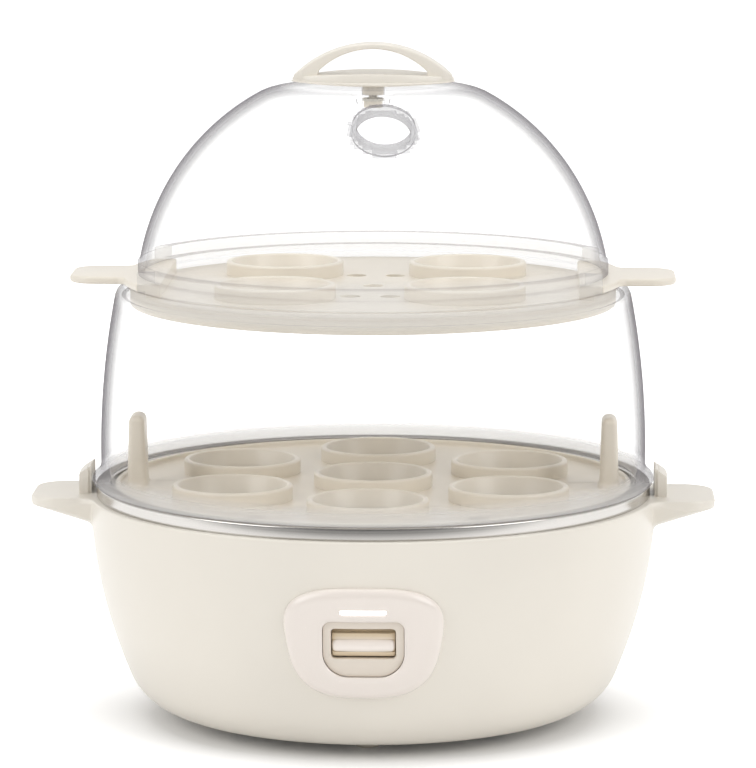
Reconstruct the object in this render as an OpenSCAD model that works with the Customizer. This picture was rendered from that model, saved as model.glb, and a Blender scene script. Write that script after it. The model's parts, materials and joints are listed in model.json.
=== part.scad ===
// Two-tier egg cooker: a heated base, two egg trays, a clear ring and a clear dome lid.
// Millimetres, +Z up, front towards -Y, origin on the table under the centre of the base.

/* [Base] */
// Radius of the base at its top edge
base_r = 90.8; // [86:0.2:110]
// Height of the base's top edge over the table
base_h = 72; // [68:0.5:90]
// Height of the feet under the base
foot_h = 3.2; // [2:0.1:6]
// Diameter of one foot pad
foot_d = 9; // [6:0.5:11]
// Radius of the ring of feet
foot_ring_r = 50; // [44:0.5:51]
// Radius of the long curve of the side wall, in section
side_r = 157; // [140:1:260]
// Lean of the side wall at the top edge, in degrees
side_lean = 1.5; // [0:0.1:4]
// Radius of the curve between wall and underside
corner_r = 19; // [12:0.5:22]
// Wall thickness of the base shell
shell_wall = 2.6; // [1.8:0.1:3.2]
// Radius of the bottom cover
cover_r = 58.6; // [57:0.2:60]
// Thickness of the bottom cover
cover_t = 2.4; // [1.6:0.1:3]

/* [Base handles] */
// Reach of a base handle from the centre
grip_reach = 109.4; // [104:0.2:125]
// Width of a base handle at its root
grip_w = 34; // [24:1:44]
// Thickness of a base handle at its tip
grip_tip_t = 3; // [2:0.1:5]
// Thickness of a base handle at its root
grip_root_t = 8.4; // [6:0.2:12]
// Radius of a base handle's corners
grip_corner = 9; // [4:0.5:11]
// Height of a locating tab over the top edge
tab_h = 9.2; // [6:0.2:14]
// Thickness of a locating tab
tab_t = 4.6; // [3:0.1:6]
// Width of a locating tab
tab_w = 16; // [10:1:24]

/* [Heating plate] */
// Height of the plate's rolled rim over the top edge
rim_h = 4.1; // [3:0.1:6]
// Radius of the rim's outer edge
rim_edge = 0.9; // [0.9:0.1:1.6]
// Thickness of the plate's sheet steel
sheet_t = 0.8; // [0.5:0.1:1]
// Depth of the water dish under the tray shelf
dish_depth = 16; // [10:0.5:18]
// Diameter of the tubular heating element
element_d = 6.6; // [5:0.2:8]
// Radius of the heating element's loop
element_loop_r = 45; // [38:0.5:48]
// Thickness of the heat spreader
spreader_t = 3; // [2:0.2:4]

/* [Switch] */
// Height of the switch over the table
switch_z = 40.2; // [38:0.2:43]
// Half width of the bezel
bezel_a = 23.8; // [21:0.2:28]
// Half height of the bezel
bezel_b = 18; // [16:0.2:18.4]
// Stand of the bezel proud of the wall
bezel_proud = 2.6; // [1.5:0.1:3.5]
// Width of the rocker opening
rocker_open_w = 19.7; // [16:0.1:21]
// Height of the rocker opening
rocker_open_h = 9.6; // [8.6:0.1:10.4]
// Tilt of the rocker at rest, in degrees
rocker_tilt = 7.5; // [4:0.5:9]
// Diameter of the rocker's pin
rocker_pin_d = 2; // [1.6:0.1:2.6]
// Length of the indicator window
window_w = 14.9; // [10:0.1:18]
// Height of the indicator window
window_h = 2; // [1.6:0.1:2.4]

/* [Lower tray] */
// Thickness of both egg trays
tray_t = 2; // [1.6:0.1:2.6]
// Gap round the lower tray inside the plate's rim
tray_clear = 1.5; // [0.6:0.1:3]
// Radius of the lower tray's ring of seats
lower_seat_ring_r = 50.3; // [48:0.1:54]
// Inner radius of an egg seat at its top
seat_r = 17.2; // [14:0.2:18.5]
// Height of a seat's collar over the tray
seat_collar_h = 4.5; // [2:0.1:7]
// Height of a grip post over the lower tray
post_h = 23; // [14:0.5:30]
// Inset of a grip post from the lower tray's edge
post_inset = 7; // [6:0.2:9]

/* [Middle tier] */
// Wall thickness of the clear ring and dome
clear_wall = 2; // [1.6:0.1:2.2]
// Largest outer radius of the clear ring
tier_r = 87.1; // [86:0.1:87.6]
// Height of that largest radius over the table
tier_wide_z = 86; // [84:0.5:90]
// Radius of the clear ring's curve, in section
tier_curve_r = 260; // [230:5:330]
// Height of the clear ring's shoulder over the table
shoulder_z = 137.8; // [132:0.2:146]
// Inset of the clear ring's neck from that largest radius
neck_inset = 7.1; // [6.6:0.1:7.6]
// Height of the neck over the shoulder
neck_h = 2.4; // [2:0.1:5]

/* [Upper tray] */
// Reach of an upper handle from the centre
wing_reach = 96.2; // [92:0.2:106]
// Width of an upper handle
wing_w = 30; // [20:1:38]
// Radius of an upper handle's corners
wing_corner = 8; // [4:0.5:9]
// Thickness of an upper handle
wing_t = 2.4; // [2:0.1:4]
// Half width of the raised rim that carries an upper handle
saddle_half = 33; // [20:1:36]
// Depth of the upper tray's floor under its handles
upper_floor_drop = 4; // [3:0.2:6]
// Radius of the upper tray's ring of seats
upper_seat_ring_r = 42; // [40:0.2:44]

/* [Lid] */
// Outer radius of the dome
dome_r = 75.5; // [75:0.1:76.2]
// Rise of the dome's flat top over its lower edge
dome_rise = 58.9; // [54:0.1:60]
// Height of the lid's flange
flange_h = 3.7; // [2:0.1:5]
// Radius of the pad on the dome's flat top
pad_r = 23.5; // [20:0.5:28]
// Height of that pad
pad_h = 0.6; // [0.4:0.1:2]
// Elevation of the steam vent, in degrees
vent_elev = 52; // [46:1:56]
// Turn of the vent about the dome, in degrees
vent_turn = 6; // [0:0.1:30]
// Bore of the steam vent
vent_bore = 17; // [10:0.5:20]
// Half length of the handle's plate
knob_r = 26.1; // [22:0.1:28]
// Half depth of the handle's plate, front to back
knob_half = 12; // [9:0.5:16]
// Thickness of the handle's plate
knob_t = 3; // [2:0.1:4]
// Rise of the handle's arch over its plate
arch_rise = 10.1; // [8:0.1:14]
// Radius of the top of the arch
arch_top_r = 36; // [34:0.5:44]
// Radius of the opening under the arch
arch_open_r = 25; // [24:0.5:32]
// Thickness of the arch at its crown
arch_t = 2.2; // [1.8:0.1:3]
// Width of the arch, front to back
arch_w = 9; // [6:0.5:14]

/* [Fits] */
// Gap between parts that lift apart
seat_gap = 0.3; // [0.2:0.05:0.4]
// Gap round fixed parts in their holes
fixed_gap = 0.15; // [0.1:0.05:0.2]
// Radial play of the rocker on its pin
pin_play = 0.05; // [0.03:0.01:0.08]
// Shank diameter of the screws
screw_d = 3; // [2.5:0.1:3.2]

/* [Hidden] */
$fn = 72;
cream = "#e9e2d6";
steel = "#b4b2ae";
dark_steel = "#6f6d6a";
clear = [0.85, 0.87, 0.88, 0.35];
eps = 0.01;

// Section of the base: a long side arc, then a corner arc that ends level on the underside
side_cx = base_r - side_r * cos(side_lean);
side_cz = base_h + side_r * sin(side_lean);
corner_cz = foot_h + corner_r;
corner_cx = side_cx + sqrt(pow(side_r - corner_r, 2) - pow(side_cz - corner_cz, 2));
join_a = atan2(side_cz - corner_cz, corner_cx - side_cx);
function reverse(v) = [for (i = [len(v) - 1 : -1 : 0]) v[i]];
function arc(cx, cz, r, a0, a1, n) =
  [for (i = [0 : n]) let (a = a0 + (a1 - a0) * i / n) [cx + r * cos(a), cz + r * sin(a)]];
// Outline of the wall moved inwards by d, from height z down to the underside
function wall_line(d, z) = concat(
  arc(side_cx, side_cz, side_r - d, -asin((side_cz - z) / (side_r - d)), -join_a, 10),
  arc(corner_cx, corner_cz, corner_r - d, -join_a - 4, -90, 8));
// Radius of the outer wall at height z
function wall_r(z) = side_cx + sqrt(pow(side_r, 2) - pow(side_cz - z, 2));

module spin(points) {
  rotate_extrude() polygon(points);
}
module ring(ro, ri, h) {
  difference() {
    cylinder(r = ro, h = h);
    translate([0, 0, -1]) cylinder(r = ri, h = h + 2);
  }
}
module around(n, r, a0 = 0) {
  for (i = [0 : n - 1]) rotate([0, 0, a0 + i * 360 / n]) translate([r, 0, 0]) children();
}
module both_sides() {
  children();
  mirror([1, 0, 0]) children();
}
// A slot with full round ends, pushed from y0 back to y1
module slot_at(z, w, h, y0, y1) {
  translate([0, y1, z]) rotate([90, 0, 0]) linear_extrude(y1 - y0) {
    square([w - h, h], center = true);
    for (x = [-1, 1]) translate([x * (w - h) / 2, 0]) circle(h / 2);
  }
}
// A rectangle on the XZ plane with round corners, pushed from y0 back to y1
module slab_at(z, w, h, r, y0, y1) {
  translate([0, y1, z]) rotate([90, 0, 0]) linear_extrude(y1 - y0) round_rect(w, h, r);
}
module round_rect(w, h, r) {
  square([w, h - 2 * r], center = true);
  square([w - 2 * r, h], center = true);
  for (x = [-1, 1], y = [-1, 1]) translate([x * (w / 2 - r), y * (h / 2 - r)]) circle(r);
}

// Bottom cover, ledge, posts and feet
cover_top = foot_h + cover_t;
ledge_t = 2.4;
ledge_z = cover_top + 0.1;
ledge_r = cover_r - 7.6;
post_ring_r = cover_r - 3.8;
post_d = 8;
boss_round_r = 10;
foot_stem_d = 4;
screw_hole_d = screw_d + 2 * fixed_gap;
screw_head_d = 2 * screw_d;
screw_head_h = 0.7 * screw_d;

// Heating plate
rim_top = base_h + rim_h;
rim_r = base_r - shell_wall + 0.5;
rim_in_r = rim_r - 4.6;
rim_round = 1.4;
shelf_z = base_h - 0.3;
shelf_in_r = rim_in_r - 3.6;
dish_floor = shelf_z - dish_depth;
dish_r = shelf_in_r - 5;
dish_under = dish_floor - sheet_t;
dish_corner = 4;
lip_in_r = rim_in_r + sheet_t + 0.4;
lip_t = 3;
spreader_r = 56;
spreader_hole_r = 12;
spreader_z = dish_under - spreader_t;
element_z = spreader_z - element_d / 2 - 0.05;
stud_ring_r = 62;
stud_d = 4;
stud_len = 21;
shield_t = 0.8;
shield_r = 67;
shield_hole_r = 14;
post_top = dish_under - stud_len + 3.5;
clip_z = spreader_z - 6;
clip_half = 20;
nut_h = 2.4;
nut_r = 4;
element_gap_a = 40;
end_hole_d = element_d + 6.4;

// Switch: pin line, rocker and frame
recess_w = 25;
recess_h = 18;
recess_drop = -1.8;
bezel_z = switch_z - 0.3;
pin_y = -(wall_r(switch_z) - 6.8);
barrel_r = rocker_open_h / 2 - 0.2;
face_r = barrel_r + 1.7;
face_half = barrel_r - 1.2;
nose_r = 2.1;
nose_reach = 5.4;
frame_front = -(wall_r(switch_z) + bezel_proud - 1.2);
frame_back = pin_y - 2;
body_back = pin_y + 15.5;
body_w = 24.4;
body_h = 15;
window_z = switch_z + 10.2;
lens_back = pin_y - 2.7;
bezel_steps = 14;
// Widening of the bezel towards its top
bezel_taper = 0.13;

// Control board, terminal block and leads
board_top = cover_top + 6.6;
board_w = 62;
board_d = 46;
board_y = 6;
board_t = 1.6;
block_w = 32;
block_d = 12;
block_h = 12;
block_y = 32;
lead_d = 2.4;
lead_z = cover_top + 4;
lead_gap_x = 10;

// Trays and tiers
tray_z = shelf_z + seat_gap;
lower_top = tray_z + tray_t;
lower_tray_r = rim_in_r - tray_clear;
tray_rim_t = 1.6;
tray_rim_h = 1.8;
lower_hole_d = 5.2;
lower_hole_ring_r = lower_seat_ring_r - 21.3;
outer_hole_d = 6.8;
outer_hole_ring_r = lower_tray_r - 13.6;
post_x = lower_tray_r - post_inset;
seat_hole_r = seat_r - 3.7;
collar_t = 1.8;
steam_hole_r = 3.2;
steam_ring_r = upper_seat_ring_r - 15.3;
steam_turn = 13.6;
post_w = 12;
post_round = 2.4;
neck_r = tier_r - neck_inset;
seat_drop = 4;
tier_z = rim_top + seat_gap;
foot_flange_r = base_r - 1;
foot_flange_t = 1.3;
foot_rise = 5.6;
neck_top = shoulder_z + neck_h;
wing_z = neck_top + seat_gap;
upper_top = wing_z + wing_t;
upper_z = wing_z - upper_floor_drop;
skirt_r = neck_r - clear_wall - 0.6;
skirt_t = 1.8;
skirt_drop = 3.2;
saddle_x = 65.4;
dome_z = upper_top + seat_gap;
dome_cz = dome_z - 9.1;
dome_top = dome_z + dome_rise;
top_round = 1.6;
vent_len = 3.7;
vent_wall = 1.5;
pad_top = dome_top + pad_h;
knob_z = pad_top + seat_gap;
knob_top = knob_z + knob_t;
spigot_r = 3.4;
boss_top_r = 8.5;
boss_low_r = 5.1;
boss_z = dome_top - 5.7;
// Web in the boss: the handle's spigot stands on it, and the screw pulls against its underside
web_z = boss_z + 2.1;
web_t = 1.1;
washer_t = 0.8;
top_flat_r = sqrt(pow(dome_r, 2) - pow(dome_top - dome_cz, 2)) - top_round / 2;
gland_z = 26;
gland_face = wall_r(gland_z) + 2.4;
gland_r = 8;
gland_bore_r = 3.5;

// Outer section of the clear ring: an arc about a point on its widest level
tier_cx = tier_r - tier_curve_r;
function tier_line(d) = let (r = tier_curve_r - d) arc(tier_cx, tier_wide_z, r,
  -asin((tier_wide_z - tier_z - foot_rise) / r), asin((shoulder_z - 1.5 - tier_wide_z) / r), 12);

// Section of the dome from its lower edge up to the round over the flat top
function dome_line(d, z_low) = let (r = dome_r - d, h = dome_top - d - top_round - dome_cz)
  arc(0, dome_cz, r, asin((z_low - dome_cz) / r), asin(h / r), 16);

// ---- base shell ----
// Plan of a side handle: square at its root, with two round corners at its tip
module handle_plan(reach, w, r, root) {
  translate([root, -w / 2]) square([reach - r - root, w]);
  translate([root, -w / 2 + r]) square([reach - root, w - 2 * r]);
  for (y = [-1, 1]) translate([reach - r, y * (w / 2 - r)]) circle(r);
}
module grip_side() {
  root = wall_r(base_h) - 2;
  translate([0, grip_w / 2 + 1, 0]) rotate([90, 0, 0]) linear_extrude(grip_w + 2)
    polygon([[root, base_h - grip_root_t], [root, base_h + 0.3], [grip_reach - 1.2, base_h],
      [grip_reach, base_h - 1.2], [grip_reach - 0.6, base_h - grip_tip_t]]);
}
module grip() {
  intersection() {
    translate([0, 0, base_h - 20]) linear_extrude(24) handle_plan(grip_reach, grip_w, grip_corner, 60);
    grip_side();
  }
}
module tab() {
  inner = foot_flange_r + 0.5;
  intersection() {
    spin([[inner, base_h - 6], [inner, base_h + tab_h - 0.4], [inner + 0.4, base_h + tab_h],
      [inner + 0.8, base_h + tab_h], [inner + tab_t, base_h + tab_h - 3],
      [inner + tab_t, base_h - 6]]);
    translate([0, -tab_w / 2, 0]) cube([grip_reach, tab_w, base_h + tab_h + 5]);
  }
}
module base_cavity() {
  spin(concat([[0, base_h - lip_t], [lip_in_r, base_h - lip_t]],
    wall_line(shell_wall, base_h - lip_t - 2), [[ledge_r, foot_h + shell_wall], [0, foot_h + shell_wall]]));
}
module inlet_boss() {
  translate([0, wall_r(gland_z) - 10, gland_z]) rotate([-90, 0, 0])
    cylinder(r = boss_round_r, h = gland_face - wall_r(gland_z) + 10);
}
module base_shell() {
  color(cream) difference() {
    union() {
      difference() {
        spin(concat([[0, base_h]], wall_line(0, base_h), [[0, foot_h]]));
        base_cavity();
        translate([0, 0, base_h - lip_t - 1]) cylinder(r = lip_in_r, h = lip_t + 2);
      }
      difference() {
        union() { grip(); mirror([1, 0, 0]) grip(); tab(); mirror([1, 0, 0]) tab(); }
        translate([0, 0, base_h - lip_t]) cylinder(r = rim_r + 0.3, h = 40);
        cylinder(r = wall_r(base_h - lip_t) - shell_wall / 2, h = base_h - lip_t);
      }
      translate([0, 0, ledge_z]) ring(cover_r + 3, ledge_r, ledge_t);
      around(4, post_ring_r, 45) translate([0, 0, ledge_z]) cylinder(d = post_d, h = post_top - ledge_z);
      intersection() { inlet_boss(); translate([0, 40, 0]) cylinder(r = 60, h = 60); }
    }
    translate([0, 0, foot_h - 1]) cylinder(r = cover_r + 0.2, h = ledge_z - foot_h + 1);
    translate([0, 0, foot_h]) cylinder(r = ledge_r, h = ledge_t + cover_t + 1);
    around(4, post_ring_r, 45) translate([0, 0, ledge_z - 1]) cylinder(d = screw_hole_d, h = 60);
    slab_at(switch_z + recess_drop, recess_w + 0.4, recess_h + 0.4, 3, -(base_r + 5), -60);
    slot_at(window_z, window_w + 0.4, window_h + 0.4, -(base_r + 5), -60);
    translate([0, 60, gland_z]) rotate([-90, 0, 0]) cylinder(r = gland_r - 2 + 0.2, h = 40);
    translate([0, gland_face - 2, gland_z]) rotate([-90, 0, 0]) cylinder(r = gland_r + 0.2, h = 10);
  }
}

// ---- underside ----
module bottom_cover() {
  color(cream) difference() {
    union() {
      translate([0, 0, foot_h]) cylinder(r = cover_r, h = cover_t);
      for (p = board_posts) translate([p[0], p[1], cover_top - eps])
        cylinder(d = 6, h = board_top - cover_top);
    }
    around(6, foot_ring_r, -90) translate([0, 0, foot_h - 1])
      cylinder(d = foot_stem_d + 2 * fixed_gap, h = cover_t + 2);
    around(4, post_ring_r, 45) translate([0, 0, foot_h - 1]) cylinder(d = screw_hole_d, h = cover_t + 2);
    around(4, post_ring_r, 45) translate([0, 0, foot_h - 1])
      cylinder(d = screw_head_d + 0.4, h = 1.8);
    for (p = board_posts) translate([p[0], p[1], cover_top + 0.6]) cylinder(d = screw_d, h = 20);
    for (y = [-12 : 4 : 12]) translate([-11, y - 0.8, foot_h - 1]) cube([22, 1.6, cover_t + 2]);
  }
}
module foot_pads() {
  color("#e6ded1") around(6, foot_ring_r, -90) {
    cylinder(d1 = foot_d - 1.2, d2 = foot_d, h = foot_h);
    translate([0, 0, foot_h - eps]) cylinder(d = foot_stem_d, h = cover_t);
  }
}
module cover_screws() {
  color(dark_steel) around(4, post_ring_r, 45)
    translate([0, 0, foot_h + 0.8]) cover_screw();
}
module cover_screw() {
  cylinder(d = screw_d, h = 12);
  translate([0, 0, -0.7]) cylinder(d = screw_head_d, h = 0.7);
}

// ---- heating plate and what is under it ----
module heating_plate() {
  r0 = rim_r;
  r1 = rim_in_r;
  t = sheet_t;
  color(steel) spin(concat(
    [[0, dish_floor]],
    arc(dish_r - dish_corner, dish_floor + dish_corner, dish_corner, -90, -14, 6),
    [[shelf_in_r, shelf_z - 0.8], [shelf_in_r + 0.8, shelf_z], [r1 - 0.4, shelf_z],
      [r1, shelf_z + 0.4]],
    arc(r1 + rim_round, rim_top - rim_round, rim_round, 180, 90, 4),
    arc(r0 - rim_edge, rim_top - rim_edge, rim_edge, 90, 0, 4),
    [[r0, base_h], [r0 - t, base_h]],
    arc(r0 - rim_edge, rim_top - rim_edge, rim_edge - t, 0, 90, 4),
    arc(r1 + rim_round, rim_top - rim_round, rim_round - t, 90, 180, 4),
    [[r1 + t, shelf_z - t + 0.3], [r1 + t - 0.6, shelf_z - t], [shelf_in_r + 1.2, shelf_z - t],
      [shelf_in_r + t, shelf_z - t - 0.6]],
    arc(dish_r - dish_corner, dish_floor + dish_corner, dish_corner + t, -14, -90, 6),
    [[0, dish_under]]));
}
module plate_gasket() {
  color("#d9d6cf") translate([0, 0, base_h])
    ring(rim_r - sheet_t - 0.2, rim_in_r + sheet_t + 0.5, rim_h - sheet_t - 1.4);
}
module heat_spreader() {
  color("#c8c8ca") translate([0, 0, spreader_z]) ring(spreader_r, spreader_hole_r, spreader_t);
}
module heating_element() {
  color(dark_steel) {
    translate([0, 0, element_z]) rotate([0, 0, 90 + element_gap_a / 2])
      rotate_extrude(angle = 360 - element_gap_a) translate([element_loop_r, 0]) circle(d = element_d);
    element_ends() translate([0, 0, element_z - 7]) cylinder(d = element_d, h = 7);
  }
}
module element_ends() {
  for (s = [-1, 1]) rotate([0, 0, 90 + s * element_gap_a / 2]) translate([element_loop_r, 0, 0])
    children();
}
module element_terminals() {
  color("#c9a85c") element_ends() {
    translate([0, 0, element_z - 9]) cylinder(d = 4, h = 2);
    translate([-0.4, -3, element_z - 17]) cube([0.8, 6, 8]);
  }
}
module plate_studs() {
  color(steel) around(3, stud_ring_r, 90) translate([0, 0, dish_under - stud_len])
    cylinder(d = stud_d, h = stud_len);
}
module stud_nuts() {
  color(dark_steel) around(3, stud_ring_r, 90) translate([0, 0, post_top - nut_h]) difference() {
    cylinder(r = nut_r, h = nut_h, $fn = 6);
    translate([0, 0, -1]) cylinder(d = stud_d + 2 * fixed_gap, h = nut_h + 2);
  }
}
module heat_shield() {
  color("#c3c3c5") translate([0, 0, post_top]) difference() {
    cylinder(r = shield_r, h = shield_t);
    translate([0, 0, -1]) cylinder(r = shield_hole_r, h = 3);
    around(3, stud_ring_r, 90) translate([0, 0, -1]) cylinder(d = stud_d + 2 * fixed_gap, h = 3);
    around(4, post_ring_r, 45) translate([0, 0, -1]) cylinder(d = screw_hole_d, h = 3);
    element_ends() translate([0, 0, -1]) cylinder(d = end_hole_d, h = 3);
    // Room for the switch's body
    translate([-body_w / 2 - 4, -shield_r - 1, -1]) cube([body_w + 8, shield_r + body_back + 12.4, 3]);
  }
}
module shield_screws() {
  color(dark_steel) around(4, post_ring_r, 45) {
    translate([0, 0, post_top + shield_t - 11]) cylinder(d = screw_d, h = 11 + eps);
    translate([0, 0, post_top + shield_t]) cylinder(d = screw_head_d, h = screw_head_h);
  }
}
module thermostat() {
  color("#4a4744") {
    translate([0, 0, dish_under - 2.4]) cylinder(r = 8, h = 2.4);
    translate([0, 0, clip_z + shield_t]) cylinder(r = 7.2, h = dish_under - clip_z - shield_t - 2);
    for (s = [-1, 1]) translate([s * 5 - 0.4, -3, clip_z - 6]) cube([0.8, 6, 7]);
  }
}
module thermostat_clip() {
  color(steel) difference() {
    union() {
      translate([-clip_half, -4, clip_z]) cube([2 * clip_half, 8, shield_t]);
      both_sides() translate([clip_half - shield_t, -4, 0]) {
        translate([0, 0, clip_z]) cube([shield_t, 8, spreader_z - clip_z]);
        translate([0, 0, spreader_z - shield_t]) cube([9, 8, shield_t]);
      }
    }
    for (s = [-1, 1]) translate([s * 5 - 1, -3.6, clip_z - 1]) cube([2, 7.2, 3]);
  }
}
module thermal_fuse() {
  color("#e7e3da") translate([-7, -26, spreader_z - 2.05]) rotate([0, 90, 0]) cylinder(d = 4, h = 14);
  color("#c9c9c9") both_sides() translate([7 - eps, -26, spreader_z - 2.05]) rotate([0, 90, 0])
    cylinder(d = 1, h = 8);
}

// ---- switch ----
function outline_x(u) = bezel_a * (1 + bezel_taper * u) * pow(1 - pow(abs(u), 3), 1 / 3);
function bezel_points() = concat(
  [for (i = [0 : bezel_steps]) let (u = sin(-90 + 180 * i / bezel_steps)) [outline_x(u), bezel_b * u]],
  [for (i = [1 : bezel_steps - 1]) let (u = sin(90 - 180 * i / bezel_steps)) [-outline_x(u), bezel_b * u]]);
module recess_shape(gap = 0) {
  w = recess_w - 2 * gap;
  h = recess_h - 2 * gap;
  intersection() {
    round_rect(w, h, 3);
    translate([0, h * 0.1]) {
      translate([0, 3]) square([w, h + 2], center = true);
      circle(r = w / 2 - 0.1);
    }
  }
}
module switch_bezel() {
  color("#efe8df") difference() {
    intersection() {
      translate([0, 0, bezel_z]) rotate([90, 0, 0]) linear_extrude(base_r + 10) polygon(bezel_points());
      difference() {
        spin(concat([[0, base_h - 8]], wall_line(-bezel_proud, base_h - 8), [[0, foot_h]]));
        spin(concat([[0, base_h - 7]], wall_line(-0.05, base_h - 7), [[0, foot_h - 4]]));
      }
      translate([-base_r, -base_r - 10, 0]) cube([2 * base_r, base_r - 30, base_h]);
    }
    translate([0, 0, switch_z + recess_drop]) rotate([90, 0, 0]) linear_extrude(base_r + 10)
      recess_shape();
    slot_at(window_z, window_w, window_h, -(base_r + 9), -60);
  }
}
module switch_frame() {
  color("#e6ddd0") difference() {
    translate([0, frame_back, switch_z + recess_drop]) rotate([90, 0, 0])
      linear_extrude(frame_back - frame_front) recess_shape(fixed_gap);
    slab_at(switch_z, rocker_open_w, rocker_open_h, 1.2, frame_front - 1, frame_back + 1);
  }
}
module rocker() {
  w = rocker_open_w - 0.4;
  color("#eee6da") translate([0, pin_y, switch_z]) rotate([rocker_tilt, 0, 0]) difference() {
    translate([-w / 2, 0, 0]) rotate([90, 0, 90]) linear_extrude(w) union() {
      circle(barrel_r);
      intersection() {
        circle(face_r);
        translate([-face_r, -face_half]) square([face_r, 2 * face_half]);
      }
      translate([-nose_reach, -nose_r]) square([nose_reach, 2 * nose_r]);
      translate([-nose_reach, 0]) circle(nose_r);
    }
    translate([-w, 0, 0]) rotate([0, 90, 0]) cylinder(d = rocker_pin_d + 2 * pin_play, h = 2 * w);
  }
}
module rocker_pin() {
  color(steel) translate([-body_w / 2, pin_y, switch_z]) rotate([0, 90, 0])
    cylinder(d = rocker_pin_d, h = body_w);
}
module switch_body() {
  color("#3b3936") difference() {
    translate([-body_w / 2, frame_back, switch_z - body_h / 2])
      cube([body_w, body_back - frame_back, body_h]);
    translate([-rocker_open_w / 2, frame_back - 1, switch_z - rocker_open_h / 2 - 0.4])
      cube([rocker_open_w, 9.5, rocker_open_h + 0.8]);
    translate([-body_w, pin_y, switch_z]) rotate([0, 90, 0])
      cylinder(d = rocker_pin_d + 0.04, h = 2 * body_w);
  }
}
module switch_terminals() {
  color("#c9a85c") for (x = [-6, 6]) translate([x - 0.4, body_back, switch_z - 3]) cube([0.8, 7, 6]);
}
module indicator_lens() {
  color("#ffffff") intersection() {
    slot_at(window_z, window_w - 2 * fixed_gap, window_h - 2 * fixed_gap, -(base_r + 9), lens_back);
    spin(concat([[0, base_h - 8]], wall_line(-bezel_proud, base_h - 8), [[0, foot_h]]));
  }
}
module indicator_lamp() {
  z0 = switch_z + body_h / 2;
  color("#2f6b3f") translate([-9, lens_back + 3.2, z0]) cube([18, 1.2, window_z + 3 - z0]);
  color("#fffbe8") for (x = [-4, 4]) translate([x - 1.5, lens_back + 0.3, window_z - 1.2])
    cube([3, 2.9 + eps, 2.4]);
}

// ---- electronics ----
board_posts = [for (x = [-1, 1], y = [-1, 1]) [x * (board_w / 2 - 4), board_y + y * (board_d / 2 - 4)]];
module control_board() {
  color("#2f6b3f") difference() {
    translate([-board_w / 2, board_y - board_d / 2, board_top]) cube([board_w, board_d, board_t]);
    for (p = board_posts) translate([p[0], p[1], board_top - 1]) cylinder(d = screw_hole_d, h = 4);
  }
}
module board_components() {
  z = board_top + board_t;
  // Film capacitor, relay, electrolytic capacitor and chip
  color("#d8b23c") translate([-board_w / 2 + 9, board_y + 2, z]) cube([15, 12, 12]);
  color("#2b4f8c") translate([-2, board_y + 6, z]) cube([19, 14, 15]);
  color("#26251f") translate([6, board_y - 10, z]) cylinder(d = 8, h = 13);
  color("#3a3a3a") translate([-8, board_y - 18, z]) cube([10, 6, 1.6]);
}
module buzzer() {
  color("#1f1f1f") translate([-18, -6, board_top + board_t]) difference() {
    cylinder(d = 12, h = 8.5);
    translate([0, 0, 7]) cylinder(d = 2.4, h = 3);
  }
}
module board_screws() {
  color(dark_steel) for (p = board_posts) translate([p[0], p[1], 0]) {
    translate([0, 0, board_top + board_t - 6]) cylinder(d = screw_d - 0.3, h = 6 + eps);
    translate([0, 0, board_top + board_t]) cylinder(d = screw_head_d, h = screw_head_h);
  }
}
module terminal_block() {
  color("#efece4") difference() {
    translate([-block_w / 2, block_y, cover_top]) cube([block_w, block_d, block_h]);
    for (x = [-1 : 1]) translate([x * lead_gap_x, block_y + block_d / 2, cover_top + block_h - 5])
      cylinder(d = 4, h = 6);
    for (x = [-1 : 1]) translate([x * lead_gap_x, block_y - 1, lead_z]) rotate([-90, 0, 0])
      cylinder(d = lead_d + 1.2, h = block_d + 2);
  }
}
module cord_gland() {
  color(cream) translate([0, 0, gland_z]) difference() {
    union() {
      translate([0, gland_face - 2, 0]) rotate([-90, 0, 0]) cylinder(r = gland_r, h = 3.6);
      translate([0, gland_face - 16, 0]) rotate([-90, 0, 0]) cylinder(r = gland_r - 2, h = 15);
    }
    translate([0, gland_face - 18, 0]) rotate([-90, 0, 0]) cylinder(r = gland_bore_r, h = 24);
  }
}
module lead(x) {
  y0 = block_y + 2 * block_d / 3;
  y1 = gland_face - 20;
  translate([x, y0, lead_z]) rotate([-90, 0, 0]) cylinder(d = lead_d, h = y1 - y0);
  translate([x, y1, lead_z]) sphere(d = lead_d);
  translate([x, y1, lead_z]) cylinder(d = lead_d, h = gland_z - lead_z);
}
module mains_leads() {
  color("#8a5a3a") for (x = [-1 : 1]) lead(x * lead_gap_x);
}

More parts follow.
